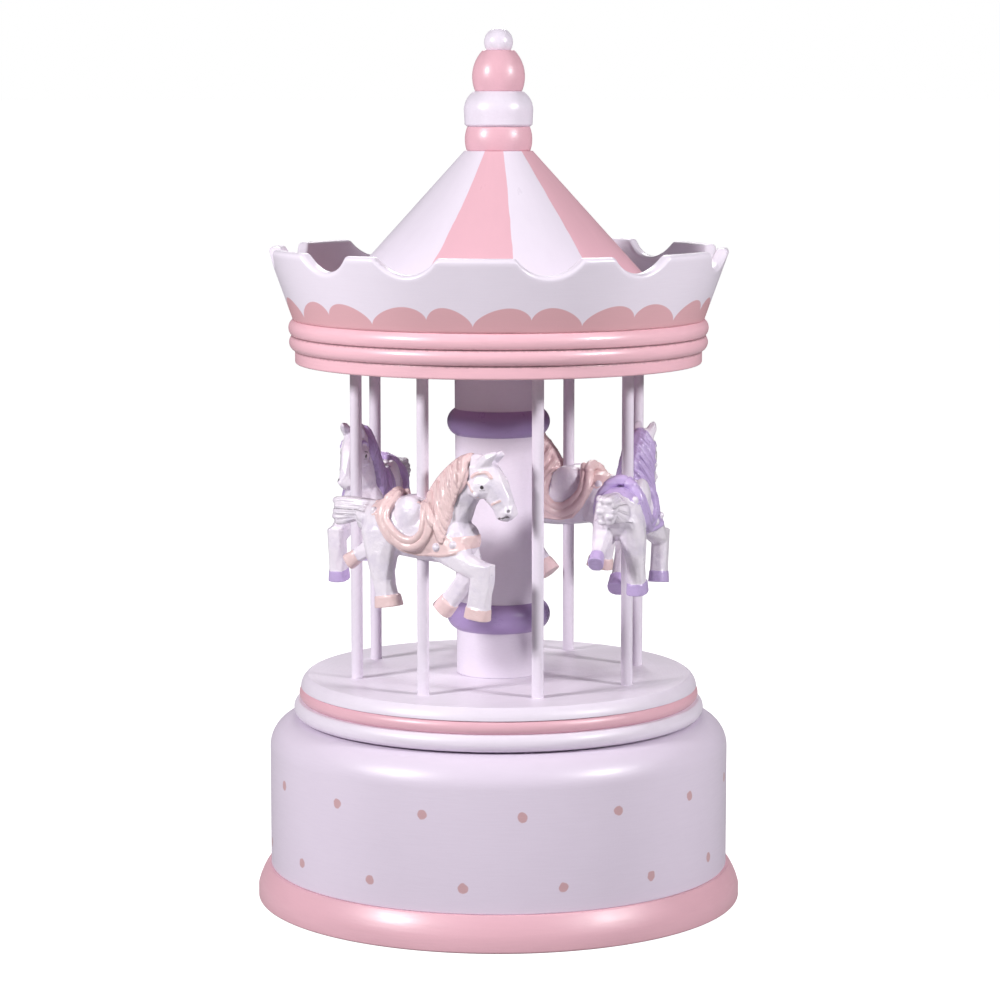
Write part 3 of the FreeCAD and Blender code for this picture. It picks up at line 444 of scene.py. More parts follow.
white_wood = plain_paint("white_satin_paint", WHITE)
table_white = plain_paint("white_platform_paint", WHITE, streak=0.7, speckle=0.6, gloss=0.42)
pink_wood = plain_paint("pink_satin_paint", PINK)
lilac_wood = plain_paint("lilac_satin_paint", LILAC, gloss=0.28)

turn("base_skirt", [
    (72.3, 0), (83.1, 0, QUARTER), (83.9, 0.8), (83.9, 4.3, 0.1), (80.3, 12), (77.5, 12),
    (77.5, 7), (66, 7), (66, 3.2), (72.3, 3.2),
], pink_wood)
turn("base_drum", [
    (70, 7), (77.5, 7), (77.5, 12), (79.45, 12), (79.45, 53.2, QUARTER), (69.45, 63.2),
    (5, 63.2), (5, 55), (70, 55),
], dotted_paint("white_dotted_paint"), segments=384)
turn("platform_lower_disc", [(3, 64), (69.6, 64, 0.545), (69.6, 69.5), (3, 69.5)], table_white)
turn("platform_middle_disc", [(8, 69.5), (68, 69.5, 0.55), (68, 74), (8, 74)], pink_wood)
turn("platform_top_disc", [(8, 74), (68.7, 74, 0.25), (66.1, 78.2), (8, 78.2)], table_white)
turn("column", [
    (3, 69.5), (8, 69.5), (8, 78.2), (14.5, 78.2), (14.6, 93.7, 0.65), (14.7, 103.7),
    (15, 161.3, 0.6), (15.1, 170.3), (15.2, 187), (8, 187), (8, 197), (0, 197), (0, 88), (3, 88),
], white_wood, segments=160, bands=((93.7, 103.7, lilac_wood), (161.3, 170.3, lilac_wood)))
for number in range(1, 9):
    turn(f"pole_{number}", [(0, 74), (2, 74), (2, 193), (0, 193)], white_wood, segments=40)
turn("canopy_disc", [
    (0, 197), (8, 197), (8, 187), (66, 187), (67, 186.2), (68.9, 186.2, QUARTER), (69.7, 187),
    (69.7, 190.3), (69.3, 190.5), (69.9, 190.7, 0.5), (70.9, 195.6), (70.2, 195.8),
    (70.9, 196.0, 0.46), (70.5, 201.2), (0, 201.2),
], grooved_paint("pink_canopy_paint", CANOPY, (190.5, 195.8)), soft=0.2, segments=384)
turn("roof_cone", [(0, 201.2), (63.4, 201.2), (11.6, 258.5), (2.5, 258.5), (2.5, 246), (0, 246)],
     striped_paint("striped_roof_paint"), segments=384)
turn("finial_collar", [(2.5, 258.5), (10.9, 258.5, 0.18), (10.7, 266.6), (2.5, 266.6)],
     pink_wood, segments=128)
turn("finial_bell", [
    (2.5, 266.6), (10.7, 266.6), (11.6, 267.3), (11.75, 271, 0.3), (8.3, 278.6), (2.5, 278.6),
], white_wood, soft=0.5, segments=128)
turn("finial_ball", [(2.5, 278.6), (8, 278.6, 0.3), (5.4, 292.4), (2.5, 292.4)], pink_wood, segments=128)
turn("finial_tip", [
    (2.5, 292.4), (4.09, 292.4, 0.5635), (0.5, 300), (0, 300), (0, 296), (2.5, 296),
], white_wood, segments=96)

CROWN_TOP = 225.7  # between the notches
NOTCH_RADIUS = 13.3
NOTCH_CENTRE = 233.3  # height of a notch's centre, which is NOTCH_OUT from the axis
NOTCH_OUT = 76.5
NOTCH_FIRSTS = (12.3, 37.0)  # degrees; six notches 60 degrees apart start at each
NOTCH_BLEND = 0.35  # millimetres; how softly a notch meets the edge


def crown_top(angle):
    """Height of the crown's edge at an angle in degrees, with its twelve round notches."""
    heights = [CROWN_TOP]
    for first in NOTCH_FIRSTS:
        for k in range(6):
            off = (angle - first - 60 * k + 180) % 360 - 180
            side = NOTCH_OUT * math.sin(math.radians(off))
            if abs(off) < 90 and abs(side) < NOTCH_RADIUS:
                heights.append(NOTCH_CENTRE - math.sqrt(NOTCH_RADIUS ** 2 - side ** 2))
    lowest = min(heights)
    excess = sum(math.exp((lowest - h) / NOTCH_BLEND) for h in heights)
    return lowest - NOTCH_BLEND * math.log(excess)


def crown_section(top):
    """(radius, height) points up the wall's outer face, over its rounded edge and down inside."""
    wall, edge = 4.4, 1.5
    tall = top - edge - CROWN_FOOT
    face = []
    for t in (0, 0.04, 0.2, 0.4, 0.6, 0.8, 0.95, 1):
        face.append((CROWN_RADIUS + t * tall * CROWN_FLARE, CROWN_FOOT + t * tall))
    reach, spring = face.pop()
    arc = [(edge * math.cos(a), spring + edge * math.sin(a)) for a in np.linspace(0, math.pi / 2, 9)]
    section = list(face)
    section.extend((reach - edge + r, z) for r, z in arc)
    section.extend((reach - wall + edge - r, z) for r, z in reversed(arc))
    section.extend((r - wall, z) for r, z in reversed(face))
    return section


def crown_mesh():
    """The crown's wall, flaring to a rounded and notched edge."""
    segments = 720
    columns = []
    for k in range(segments):
        angle = 360 * k / segments
        a = math.radians(angle)
        section = crown_section(crown_top(angle))
        columns.append([(r * math.sin(a), -r * math.cos(a), z) for r, z in section])
    count = len(columns[0])
    points = [p for column in columns for p in column]
    faces = []
    for k in range(segments):
        one, two = k * count, (k + 1) % segments * count
        for i in range(count):
            j = (i + 1) % count
            faces.append([one + i, one + j, two + j, two + i])
    return make_mesh("crown_painted", points, faces)


crown = crown_mesh()
crown.materials.append(scalloped_paint("scalloped_crown_paint"))
placed(crown, "crown")

# ---- horses -----------------------------------------------------------------
# A horse's own frame: X forward, -Y outward, Z up, in millimetres, with the pole through (0, 0).
# A station is (x, y, z, half width, half depth).

BODY = {  # power (2 is round, more is squarer), flat-ended or not, stations
    "barrel": (2.0, False, (
        (-20, 0, 136.8, 5.5, 5.5), (-16.5, 0, 135.8, 7.2, 8), (-10, 0, 134.8, 8, 9.2),
        (0, 0, 134, 8.2, 9.8), (8, 0, 133.4, 8, 9.8), (13, 0, 132.8, 7, 8.6), (16.5, 0, 132, 5, 6),
    )),
    "neck": (2.0, False, (
        (7, 0, 136, 6.2, 10), (11, 0, 142.5, 5.2, 8.6), (14.3, 0, 147.5, 4.4, 7.3),
        (17.5, 0, 152, 4, 6.6), (20, 0, 155, 3.6, 5.2),
    )),
    "head": (2.3, False, (
        (20, 0, 155.5, 3.4, 4.2), (23.5, 0, 153.8, 4, 5.6), (27, 0, 150.6, 3.8, 5.4),
        (29.8, 0, 146.6, 3.2, 4.4), (31.4, 0, 143.4, 2.8, 3.8), (31.8, 0, 141.4, 2.6, 3.6),
    )),
    "outer_shoulder": (2.6, True, (
        (11, -4, 131, 3.6, 7), (16, -5, 127.4, 3.6, 5), (21, -5.5, 124.4, 3.4, 3.7),
        (26.6, -5.6, 122.9, 3.2, 2.9),
    )),
    "outer_foreleg": (3.2, True, (
        (26.4, -5.7, 125.4, 3.1, 4.0), (26.2, -5.7, 119, 3.0, 3.9), (25.2, -5.7, 113, 2.9, 3.9),
        (24.7, -5.7, 109, 3, 4.1),
    )),
    "inner_foreleg": (2.8, False, (
        (12, 3.5, 130, 3.4, 6), (15.5, 4.5, 124, 3, 4), (14, 4.6, 118.5, 2.7, 3.3),
        (10.4, 4.6, 113.5, 2.5, 3.2), (7.6, 4.6, 110.2, 2.5, 3.2),
    )),
    "outer_hindleg": (2.6, False, (
        (-13, -3.8, 133, 5, 8), (-12.8, -5, 127, 4.2, 6), (-12.4, -5.7, 121.5, 3.4, 4.6),
        (-11.6, -5.8, 116.5, 2.9, 3.8), (-10.4, -5.8, 111.6, 2.9, 4),
    )),
    "inner_hindleg": (2.6, False, (
        (-14, 3.5, 132, 4.6, 7), (-20, 4.2, 127.6, 3.2, 4.4), (-25, 4, 124.7, 2.4, 2.8),
        (-28.6, 3.7, 122.8, 2.1, 2.4),
    )),
    "tail": (2.0, False, (
        (-17, 0, 140.6, 2.2, 2.2), (-22, 0, 140.4, 2.6, 2.8), (-27, 0, 139.6, 3.2, 3.4),
        (-31, 0, 139, 3.4, 3.7),
    )),
    "poll": (2.0, False, (
        (18, 0, 158.4, 2.0, 2.0), (21.5, 0, 158.9, 2.2, 2.0), (25.2, 0, 158.2, 2.0, 1.8),
    )),
    "outer_ear": (2.0, False, (
        (23.8, -2.3, 157.8, 1.6, 2), (26.6, -2.5, 159.8, 1.7, 2), (29.0, -2.5, 161.2, 1.1, 1.3),
    )),
    "inner_ear": (2.0, False, (
        (23.8, 2.3, 157.8, 1.6, 2), (26.6, 2.5, 159.8, 1.7, 2), (29.0, 2.5, 161.2, 1.1, 1.3),
    )),
}
LUMPS = (  # centre, half sizes; given for the outer side and mirrored
    ((12.6, -4.4, 131.5), (6.4, 3.4, 6.6)),
    ((-13.4, -4.4, 134), (6.6, 3.8, 7.6)),
    ((23.2, -2.8, 150), (4, 2.2, 4)),
    ((33.2, -1.7, 142.2), (2.2, 1.5, 2.0)),
    ((25.8, -3.5, 151.2), (2.3, 1.1, 1.7)),
    ((26.4, -3.0, 153.6), (3.0, 0.9, 0.9)),
)
HOOVES = (  # stations of each, flat-ended
    ((24.8, -5.7, 110.6, 3.2, 4.3), (24.3, -5.7, 106.9, 3.5, 4.6)),
    ((7.8, 4.6, 110.4, 3.0, 3.4), (4.6, 4.6, 106.8, 3.3, 3.7)),
    ((-10.3, -5.8, 112.2, 3.3, 4.5), (-9.7, -5.8, 108.4, 3.6, 5.0)),
    ((-28.0, 3.7, 123.1, 2.3, 2.5), (-31.6, 3.6, 120.6, 2.6, 2.9)),
)
TAIL = (  # the stations that its ten strands lie along
    (-17, 0, 140.7, 2.4, 2.6), (-21.5, 0, 140.5, 3.0, 3.1), (-26, 0, 139.6, 3.9, 4.2),
    (-30.5, 0, 138.8, 4.2, 5.0), (-32.6, 0, 138.6, 3.9, 4.9),
)
SADDLE = (  # centre, half sizes
    ((-1.8, -5.2, 139), (6, 3.1, 7)),
    ((-1.8, 5.2, 139), (6, 3.1, 7)),
    ((-3, 0, 142), (7, 7, 4)),
)
CANTLE = ((-10.4, -4, 144.9, 1.6, 1.6), (-9.6, 0, 146.4, 1.8, 1.8), (-10.4, 4, 144.9, 1.6, 1.6))
ROLLS = (  # round the saddle: radius, then points given for the outer side and mirrored
    (1.35, (
        (-9.8, -2.4, 145.8), (-11.4, -6.2, 141.8), (-11.0, -7.6, 137.4), (-8.1, -8.0, 133.1),
        (-3.6, -7.7, 130.0), (0.6, -7.5, 129.4), (4.6, -7.7, 131.3), (7.2, -7.9, 135),
        (7.2, -7.2, 139.4), (5.6, -5.0, 143.2),
    )),
    (1.15, (
        (-7.6, -2.6, 146.2), (-9.2, -6.4, 141.6), (-9.2, -7.9, 138), (-6.4, -8.3, 134.6),
        (-2.8, -8.2, 132.2), (0.7, -8.1, 131.8), (3.3, -8.1, 133.4), (4.9, -8.0, 136),
        (4.9, -7.2, 140), (3.7, -5.0, 143.4),
    )),
)
MANE = (  # strands, given for the outer side and mirrored
    ((4.5, -2.0, 146.5), (7.5, -5.2, 141.5), (10.2, -7.2, 136.5), (11.6, -7.9, 132.2)),
    ((7, -2.0, 150), (9.3, -5.0, 144.5), (11.2, -6.4, 139), (12.4, -7.4, 133.4)),
    ((9.5, -2.0, 153), (11.2, -4.7, 147), (12.3, -5.8, 141.5), (12.9, -6.8, 135)),
    ((12, -2.0, 155.5), (13, -4.4, 150), (13.4, -5.2, 144.5), (13.4, -5.8, 139.5)),
    ((14.8, -2.0, 157.6), (15.5, -4.1, 153), (15.2, -4.8, 148.5), (14.6, -5.2, 144.5)),
    ((17.6, -2.0, 158.8), (18.3, -3.9, 155), (17.8, -4.4, 151.5), (16.6, -4.6, 148.6)),
)
CREST = ((3.5, 0, 145.5), (6.5, 0, 150), (10.5, 0, 154.3), (15, 0, 157.8), (18.6, 0, 159.2))
# Painted areas in profile, as (x, z) outlines.
BLANKET = (
    (-15.6, 146), (-14.5, 141.8), (-12.6, 137.2), (-9.2, 131.6), (-4.7, 127.3), (1.7, 126.4),
    (9.2, 127.2), (15.1, 127.6), (20, 129.6), (27, 131), (27, 134.3), (15.8, 133.6), (11.6, 134),
    (9.5, 138), (6.5, 144),
)
SEAT = ((-8.2, 146.5), (-9.1, 142.5), (-8.2, 138.1), (-5.4, 134.9), (-1.8, 133), (1.6, 132.8), (3.8, 135),
        (4.1, 138.5), (3.3, 141.6), (2, 148))
HAIR = (
    (1.6, 144.2), (4.8, 150.8), (9.8, 156.2), (15.6, 160.4), (19.6, 162), (19.8, 157.6),
    (19.4, 154.4), (18.6, 151.4), (16.8, 148), (15.0, 144), (14, 139.3), (13.4, 134.6),
    (12.4, 131.2), (10.5, 132.2), (8.6, 136.4), (5.2, 141.8),
)
CRUPPER = ((-18.2, 148), (-14, 148), (-13.6, 143), (-13.0, 139.6), (-15.2, 138.6), (-17.4, 140.0))
STRAPS = (  # radius, then (x, z) of lines that lie on one side's surface and are mirrored
    (0.45, ((17.6, 152.4), (19.8, 151.4), (21.6, 149.4), (23.4, 147.2))),
    (0.5, ((21.2, 153.6), (23.4, 154.8), (26.4, 155.2), (28.4, 153.6))),
    (0.35, ((27.9, 144.6), (29.6, 145.4), (31.4, 146.2))),
    (0.5, ((-13.9, 139.6), (-12.0, 136.0), (-9.0, 131.8), (-5.2, 128.4))),
    (0.5, ((-5.2, 128.4), (0.4, 126.7), (6.4, 127.0), (12.0, 127.4), (17.6, 128.6))),
)
BUTTONS = (  # x, z and radius, on both sides
    (9.9, 129.9, 1.1), (16.4, 131.2, 0.95), (-15.4, 140.4, 1.0), (22.9, 147.7, 0.8),
)
BLANKET_THICKNESS = 0.3
TAIL_ROOT, TAIL_END = -19.5, -34.2  # x of the combed part of the tail
EYE = (25.4, 0, 150.4)
NOSTRIL = (34.3, 0, 142.9)
LID = ((24.0, 0, 151.6), (25.9, 0, 152.0))
UNDER_EYE = ((24.6, 0, 149.3), (26.2, 0, 149.4))
MOUTH = ((29.9, 0, 139.8), (34.0, 0, 141.0))


def through(points, steps=5):
    """A smooth line through the points, whatever they hold."""
    line = np.array(points, float)
    padded = np.vstack([2 * line[0] - line[1], line, 2 * line[-1] - line[-2]])
    out = []
    for k in range(1, len(line)):
        a, b, c, d = padded[k - 1:k + 3]
        for t in np.arange(steps) / steps:
            square = (2 * a - 5 * b + 4 * c - d) * t ** 2
            cube = (3 * b - a - 3 * c + d) * t ** 3
            out.append(0.5 * (2 * b + (c - a) * t + square + cube))
    out.append(line[-1])
    return np.array(out)


def tube(stations, power=2.0, sides=28, flat=False):
    """Points and faces of a closed limb through its stations, with rounded or flat ends."""
    line = through(stations)
    rings = []
    last = len(line) - 1
    for k, (x, y, z, wide, deep) in enumerate(line):
        ahead = Vector(line[min(k + 1, last)][:3]) - Vector(line[max(k - 1, 0)][:3])
        ahead.normalize()
        side = Vector((0, 1, 0)) if abs(ahead.y) < 0.9 else Vector((1, 0, 0))
        up = side.cross(ahead).normalized()
        side = ahead.cross(up).normalized()
        middle = Vector((x, y, z))
        caps = [(0.0, 1.0)]
        if not flat and k in (0, last):
            caps = [(math.sin(t), math.cos(t)) for t in (0.0, 0.5, 0.95, 1.3)]
            caps = caps[::-1] if k == 0 else caps
        for lift, share in caps:
            shift = ahead * (lift * min(wide, deep) * (1 if k else -1))
            ring = []
            for i in range(sides):
                a = math.tau * i / sides
                c, s = math.cos(a), math.sin(a)
                u = math.copysign(abs(c) ** (2 / power), c) * wide * share
                v = math.copysign(abs(s) ** (2 / power), s) * deep * share
                ring.append(middle + shift + side * u + up * v)
            rings.append(ring)
    rings = [[sum(rings[0], Vector()) / sides]] + rings + [[sum(rings[-1], Vector()) / sides]]
    return skin(rings)


def lump(centre, half):
    """Points and faces of an egg."""
    x, y, z = centre
    stations = []
    for t in (-0.98, -0.85, -0.6, -0.3, 0, 0.3, 0.6, 0.85, 0.98):
        share = math.sqrt(1 - t * t)
        stations.append((x + t * half[0], y, z, half[1] * share, half[2] * share))
    return tube(stations, flat=True)


def joined(parts):
    """The points and faces of several parts as one."""
    points, faces = [], []
    for more, their in parts:
        faces.extend([len(points) + i for i in face] for face in their)
        points.extend(more)
    return points, faces


def melted(points, faces, voxel, smoothing, planes=1.0):
    """One closed skin round overlapping closed parts, smoothed and cut back to a share of its faces."""
    shape = bpy.data.objects.new("melting", make_mesh("melting", points, faces))
    bpy.context.scene.collection.objects.link(shape)
    remesh = shape.modifiers.new("skin", "REMESH")
    remesh.mode = "VOXEL"
    remesh.voxel_size = voxel * MM
    smooth = shape.modifiers.new("smooth", "SMOOTH")
    smooth.iterations = smoothing
    smooth.factor = 0.5
    cut = shape.modifiers.new("planes", "DECIMATE")
    cut.ratio = planes
    mesh = bpy.data.meshes.new_from_object(shape.evaluated_get(bpy.context.evaluated_depsgraph_get()))
    bpy.data.objects.remove(shape)
    points = [v.co / MM for v in mesh.vertices]
    faces = [list(p.vertices) for p in mesh.polygons]
    bpy.data.meshes.remove(mesh)
    return points, faces


def depth_inside(polygon, x, z):
    """How far each (x, z) lies inside a polygon, in millimetres; negative outside."""
    inside = np.zeros(len(x), bool)
    near = np.full(len(x), 1e9)
    for (x0, z0), (x1, z1) in zip(polygon, polygon[1:] + polygon[:1]):
        crosses = (z0 > z) != (z1 > z)
        at = x0 + (z - z0) * (x1 - x0) / ((z1 - z0) or 1e-9)
        inside ^= crosses & (x < at)
        t = np.clip(((x - x0) * (x1 - x0) + (z - z0) * (z1 - z0)) / ((x1 - x0) ** 2 + (z1 - z0) ** 2), 0, 1)
        near = np.minimum(near, np.hypot(x - x0 - t * (x1 - x0), z - z0 - t * (z1 - z0)))
    return np.where(inside, near, -near)


def both(points):
    """The points of one side, and the same on the other side."""
    return points, tuple((x, -y, z) for x, y, z in points)


def tail_strands():
    """Ten strands lying along the tail, five rows high and two wide, with uneven ends."""
    strands = []
    for row in (-1, -0.5, 0, 0.5, 1):
        for side in (-1, 1):
            shorter = len(strands) % 3 * 0.4
            strand = []
            for n, (x, y, z, wide, deep) in enumerate(TAIL):
                strand.append((
                    x - (shorter if n == len(TAIL) - 1 else 0),
                    y + side * (wide * 0.42 - row * row * 0.6), z + row * (deep - 1.4),
                    1.1 + 0.13 * n, 1.0 + 0.07 * n,
                ))
            strands.append(tube(strand, sides=12))
    return strands


def horse_mesh():
    """A carved horse with its saddle, straps and mane, and where it is painted."""
    body = [tube(stations, power, flat=flat) for power, flat, stations in BODY.values()]
    for side in (-1, 1):
        body.extend(lump((x, -side * y, z), half) for (x, y, z), half in LUMPS)
    body = melted(*joined(body), voxel=0.5, smoothing=5, planes=0.014)
    surface = BVHTree.FromPolygons(*body)
    plain, painted = [body], []

    def touching(side, x, z):
        """The point on one side of the body's surface at a given x and z."""
        spot = surface.ray_cast((x, side * 40, z), (0, -side, 0))[0]
        return spot or Vector((x, side * 3, z))

    plain.extend(lump(centre, half) for centre, half in SADDLE)
    plain.extend(tail_strands())
    painted.extend(tube(hoof, 2.6, flat=True) for hoof in HOOVES)
    for radius, roll in ROLLS:
        for points in both(roll):
            painted.append(tube([(*p, radius, radius) for p in points], sides=14))
    painted.append(tube(CANTLE, sides=14))
    painted.append(tube([(*p, 2.1, 1.9) for p in CREST], sides=16))
    for strand in MANE:
        for points in both(strand):
            radii = np.interp(np.linspace(0, 1, len(points)), (0, 0.5, 1), (1.5, 1.6, 0.8))
            painted.append(tube([(*p, r, r) for p, r in zip(points, radii)], sides=12))
    buttons = []
    for side in (-1, 1):
        for radius, strap in STRAPS:
            spots = [touching(side, x, z) for x, z in through(strap, 3)]
            painted.append(tube([(*p, radius, radius) for p in spots], sides=10))
        for x, z, radius in BUTTONS:
            spot = touching(side, x, z)
            buttons.append(lump(spot + Vector((0, side * 0.3, 0)), (radius, radius * 0.8, radius)))
    points, faces = melted(*joined(plain + painted + buttons), voxel=0.33, smoothing=1)

    def away(parts):
        """Distance from each point of the horse to the nearest of the parts."""
        near = BVHTree.FromPolygons(*joined(parts))
        return np.array([near.find_nearest(p)[3] for p in points])

    accent = np.clip((away(plain) - away(painted)) / 0.24 + 0.5, 0, 1)
    clear = away(buttons) > 0.3
    place = np.array(points)
    x, y, z = place.T
    blanket = np.clip(depth_inside(BLANKET, x, z) / 0.5 + 0.5, 0, 1) * (z > 125)
    seat = np.clip(depth_inside(SEAT, x, z) / 0.4 + 0.5, 0, 1)
    hair = np.clip(depth_inside(HAIR, x, z) / 0.5 + 0.5, 0, 1)
    crupper = np.clip(depth_inside(CRUPPER, x, z) / 0.4 + 0.5, 0, 1)
    trimmed = accent * (1 - seat * (accent < 1))
    accent = np.maximum.reduce([trimmed, blanket * (1 - seat), hair, crupper]) * clear

    mesh = make_mesh("carved_horse", points, faces)
    normals = np.empty(len(points) * 3, np.float32)
    mesh.vertices.foreach_get("normal", normals)
    lift = BLANKET_THICKNESS * np.maximum(blanket * (1 - seat), crupper)
    raised = (place + normals.reshape(-1, 3) * lift[:, None]) * MM
    mesh.vertices.foreach_set("co", raised.ravel())
    tail = np.clip((TAIL_ROOT - x) / 1.5, 0, 1) * np.clip((x - TAIL_END) / 1.5, 0, 1) * (z > 133.5)
    round_tail = np.arctan2(z - 139.5, y) * 4
    across_mane = 0.86 * x + 0.5 * z + 0.3 * np.abs(y)
    strand = np.where(x < -15, round_tail, across_mane)
    for name, values in (("paint", accent), ("hair", np.maximum(hair, tail)), ("strand", strand)):
        layer = mesh.attributes.new(name, "FLOAT", "POINT")
        layer.data.foreach_set("value", values.astype(np.float32))
    return mesh


def horse_paint(name, colour):
    """Glossy off-white with the mane, straps and hooves picked out by brush, a drawn face, and painted
    shade in the creases and combed grooves.
    """
    finish = Finish(name, Coat_Weight=0.35, Coat_Roughness=0.18)
    paint, hair, strand = (finish.add("Attribute", attribute_name=key).outputs["Fac"]
                           for key in ("paint", "hair", "strand"))
    profile = finish.add("CombineXYZ", finish.x, 0.0, finish.z).outputs[0]

    def away(start, end=None):
        """Distance in profile from a point of the face, or from a line between two."""
        offset = finish.add("VectorMath", profile, start, operation="SUBTRACT").outputs[0]
        if end:
            along = Vector(end) - Vector(start)
            share = finish.add("VectorMath", offset, along / along.length_squared, operation="DOT_PRODUCT")
            share = finish.spread(share.outputs["Value"], 0.0, 1.0, 0.0, 1.0)
            run = finish.add("VectorMath", along, None, None, share, operation="SCALE").outputs[0]
            offset = finish.add("VectorMath", offset, run, operation="SUBTRACT").outputs[0]
        return finish.add("VectorMath", offset, operation="LENGTH").outputs["Value"]

    ragged = finish.spread(finish.noise(1.1, 3.0), 0.3, 0.7, -0.22, 0.22)
    accent = finish.spread(finish.math("ADD", paint, ragged), 0.42, 0.6, 0.0, 1.0)
    wash = finish.spread(finish.noise(0.16, 3.0, 0.6), 0.42, 0.66, 0.0, 0.7)
    white = finish.mix(wash, HORSE_WHITE, HORSE_WASH)
    thin = finish.spread(finish.noise(0.5, 3.0, 0.6, stretch=(0.6, 0.6, 1.4)), 0.35, 0.7, 0.0, 0.35)
    painted = finish.mix(accent, white, finish.mix(thin, colour, shaded(colour, 1.12)))

    comb = finish.add("CombineXYZ", strand, finish.math("MULTIPLY", finish.z, 0.1), 0.0).outputs[0]
    grooves = finish.math("MULTIPLY", finish.noise(1.15, 2.0, 0.5, at=comb), hair)
    # painted shade: darker in the carving's creases and along the combed grooves of the mane and tail
    crease_shade = finish.spread(finish.add("NewGeometry").outputs["Pointiness"], 0.41, 0.49, 1.0, 0.0)
    groove_shade = finish.math("MULTIPLY", finish.spread(grooves, 0.2, 0.46, 1.0, 0.0), hair)
    painted_shade = finish.math("MAXIMUM", crease_shade, finish.math("MULTIPLY", groove_shade, 0.7))
    painted = finish.mix(painted_shade, painted, finish.tinted(painted, (0.62, 0.56, 0.62, 1)))

    eye = finish.spread(away(EYE), 0.55, 0.75, 1.0, 0.0)
    lid = finish.spread(away(*LID), 0.1, 0.35, 0.65, 0.0)
    under = finish.spread(away(*UNDER_EYE), 0.05, 0.3, 0.4, 0.0)
    shake = finish.spread(finish.noise(0.9, 1.0), 0.3, 0.7, -0.25, 0.25)
    mouth = finish.spread(finish.math("ADD", away(*MOUTH), shake), 0.15, 0.45, 0.85, 0.0)
    nostril = finish.spread(away(NOSTRIL), 0.3, 0.65, 0.75, 0.0)
    drawn = eye
    for line in (lid, under, mouth, nostril):
        drawn = finish.math("MAXIMUM", drawn, line)
    finish.colour(finish.mix(drawn, painted, FACE_LINES))
    finish.roughness(finish.spread(finish.noise(0.4, 3.0), 0.3, 0.7, 0.26, 0.42))
    carved = finish.math("SUBTRACT", 1.0, finish.math("MAXIMUM", mouth, nostril))
    chipped = finish.noise(0.5, 4.0, 0.62)
    peel = finish.noise(3.0, 2.0)
    finish.relief((chipped, 0.3), (grooves, 0.9), (carved, 0.3), (peel, 0.02))
    return finish.material


horse_meshes = [horse_mesh()]
horse_meshes.append(horse_meshes[0].copy())
horse_meshes[0].materials.append(horse_paint("peach_horse_paint", PEACH))
horse_meshes[1].materials.append(horse_paint("lilac_horse_paint", MAUVE))
HIGH_TURN = math.radians(15)  # as high_horse_turn in the CAD
for number in range(1, 5):
    low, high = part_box(f"pole_{2 * number - 1}")
    pole = (low + high) / 2
    mesh = horse_meshes[(number - 1) % 2]
    feet = min(v.co.z for v in mesh.vertices)
    spot = Vector((pole.x, pole.y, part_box(f"horse_{number}")[0].z - feet))
    heading = math.atan2(pole.x, -pole.y) + (0 if number % 2 else HIGH_TURN)
    placed(mesh, f"horse_{number}", Matrix.Translation(spot) @ Matrix.Rotation(heading, 4, "Z"))

# ---- movement and the other pieces under the base ---------------------------


def metal(name, colour, gloss=0.28, grain=1.0):
    """Metal with fine scratches, smudges and dulled patches."""
    finish = Finish(name, Metallic=1.0)
    scratches = finish.noise(0.8, 5.0, 0.65, stretch=(0.5, 5.0, 5.0))
    patches = finish.noise(0.16, 4.0, 0.6)
    specks = finish.noise(1.6, 3.0, 0.6)
    dull = shaded(colour, 0.62)
    tone = finish.mix(finish.spread(patches, 0.35, 0.7, 0.0, 0.75), colour, dull)
    finish.colour(finish.mix(finish.spread(specks, 0.62, 0.75, 0.0, 0.5), tone, dull))
    finish.roughness(finish.math("ADD", finish.spread(scratches, 0.3, 0.7, gloss - 0.08, gloss + 0.08),
                                 finish.spread(patches, 0.3, 0.7, 0.0, 0.12)))
    finish.relief((scratches, 0.02 * grain), (specks, 0.01 * grain))
    return finish.material


def plastic(name, colour, gloss=0.4):
    """Moulded plastic, faintly mottled and matt."""
    finish = Finish(name, Specular_IOR_Level=0.45)
    mottle = finish.noise(0.3, 4.0, 0.6)
    grain = finish.noise(2.4, 3.0, 0.6)
    finish.colour(finish.mix(finish.spread(mottle, 0.3, 0.7, 0.0, 0.7), colour, shaded(colour, 0.8)))
    finish.roughness(finish.spread(grain, 0.3, 0.7, gloss - 0.06, gloss + 0.12))
    finish.relief((grain, 0.015), (mottle, 0.03))
    return finish.material


def wood(name, light, dark, stretch, scale=1.0):
    """Bare wood or pressed board with its fibres lying along one direction."""
    finish = Finish(name)
    fibres = finish.noise(0.5 * scale, 6.0, 0.7, stretch=stretch)
    blotch = finish.noise(0.03 * scale, 3.0, 0.6)
    tone = finish.mix(finish.spread(fibres, 0.32, 0.68, 0.0, 1.0), light, dark)
    faded = finish.tinted(tone, (0.86, 0.84, 0.82, 1))
    finish.colour(finish.mix(finish.spread(blotch, 0.3, 0.7, 0.0, 1.0), tone, faded))
    finish.roughness(finish.spread(fibres, 0.3, 0.7, 0.62, 0.85))
    finish.relief((fibres, 0.12), (finish.noise(2.2, 3.0), 0.04))
    return finish.material


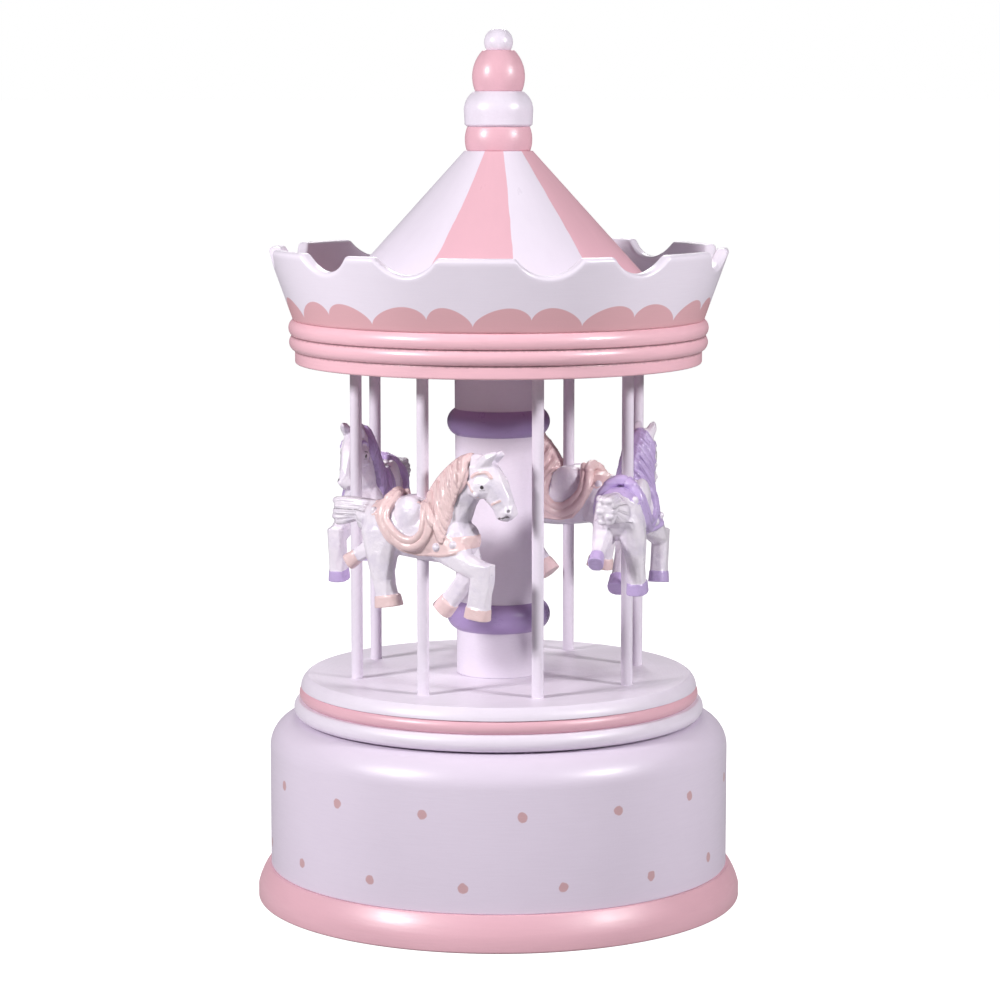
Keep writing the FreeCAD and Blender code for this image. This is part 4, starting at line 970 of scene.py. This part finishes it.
brass = metal("brass", (0.80, 0.58, 0.25, 1))
steel = metal("ground_steel", (0.60, 0.60, 0.62, 1), gloss=0.24)
zinc = metal("zinc_plated_screws", (0.66, 0.67, 0.70, 1), gloss=0.3)
cast = metal("plated_casting", (0.74, 0.62, 0.38, 1), gloss=0.36, grain=3.0)
FINISHES = {  # the CAD nodes that stay, by their material
    wood("pressed_board", srgb(196, 164, 124), srgb(158, 124, 86), (1.0, 1.6, 3.0), 1.6): ("bottom_cover",),
    wood("beech_dowel", srgb(222, 190, 150), srgb(192, 152, 110), (3.0, 3.0, 0.4)): ("finial_dowel",),
    zinc: ("bottom_cover_screws", "movement_screws", "housing_screws", "comb_screws", "governor_screws"),
    cast: ("movement_bedplate",),
    metal("nickel_plate", (0.70, 0.69, 0.66, 1), gloss=0.22): ("spring_housing", "governor_frame"),
    metal("blued_spring_steel", (0.22, 0.26, 0.36, 1), gloss=0.3): ("mainspring",),
    steel: ("comb", "winding_arbor", "cylinder_arbor", "governor_arbor", "governor_worm"),
    brass: (
        "shaft_bush", "great_wheel", "cylinder_gear", "cylinder_pinion", "note_cylinder",
        "governor_wheel",
    ),
    plastic("white_nylon", srgb(226, 222, 210)): ("thrust_washer", "governor_pinion"),
    plastic("black_nylon", srgb(52, 52, 56)): ("air_brake",),
}
for material, names in FINISHES.items():
    for name in names:
        slots = frame["nodes"][name].data.materials
        slots.clear()
        slots.append(material)

# ---- camera, light and floor ------------------------------------------------

camera = bpy.data.objects.new("camera", bpy.data.cameras.new("camera"))
camera.location = (0.0005, -1.099, 0.2803)
camera.rotation_euler = (math.radians(82.639), 0, 0)
camera.data.lens = 115.36
camera.data.clip_end = 200
bpy.context.scene.collection.objects.link(camera)
bpy.context.scene.camera = camera
OBJECT_MIDDLE = Vector((0, 0, 0.15))


def softbox(name, azimuth, elevation, distance, size, watts):
    """A square area light looking at the middle of the object; sizes and distances in metres."""
    light = bpy.data.objects.new(name, bpy.data.lights.new(name, "AREA"))
    a, e = math.radians(azimuth), math.radians(elevation)
    out = Vector((math.sin(a) * math.cos(e), -math.cos(a) * math.cos(e), math.sin(e)))
    light.location = OBJECT_MIDDLE + out * distance
    light.rotation_euler = (-out).to_track_quat("-Z", "Y").to_euler()
    light.data.energy = watts
    light.data.size = size
    bpy.context.scene.collection.objects.link(light)


softbox("left_softbox", -54, 25, 0.8, 0.13, 6.0)
softbox("right_softbox", 56, 25, 0.8, 0.13, 4.9)
softbox("back_softbox", 180, 38, 0.9, 0.4, 3.5)

world = bpy.data.worlds.new("studio")
world.use_nodes = True
background = world.node_tree.nodes["Background"]
background.inputs["Color"].default_value = (1, 1, 1, 1)
rays = world.node_tree.nodes.new("ShaderNodeLightPath")
level = world.node_tree.nodes.new("ShaderNodeMapRange")
level.inputs["To Min"].default_value = 0.07
level.inputs["To Max"].default_value = 1.0
world.node_tree.links.new(rays.outputs["Is Camera Ray"], level.inputs["Value"])
world.node_tree.links.new(level.outputs[0], background.inputs["Strength"])
bpy.context.scene.world = world
bpy.context.scene.view_settings.view_transform = "Standard"

FLOOR_RADIUS = 60000  # millimetres
rim = []
for k in range(64):
    a = math.tau * k / 64
    rim.append((FLOOR_RADIUS * math.cos(a), FLOOR_RADIUS * math.sin(a), 0))
floor = bpy.data.objects.new("floor", make_mesh("floor", *skin([[(0, 0, 0)], rim])))
bpy.context.scene.collection.objects.link(floor)
paper = Finish("pale_floor", Emission_Color=(1, 1, 1, 1))
seen = paper.add("LightPath").outputs["Is Camera Ray"]
paper.tree.links.new(seen, paper.shader.inputs["Emission Strength"])
paper.colour(paper.mix(paper.noise(0.02, 2.0), (0.33, 0.33, 0.33, 1), (0.35, 0.35, 0.35, 1)))
paper.roughness(paper.spread(paper.noise(0.05), 0.3, 0.7, 0.8, 0.9))
floor.data.materials.append(paper.material)
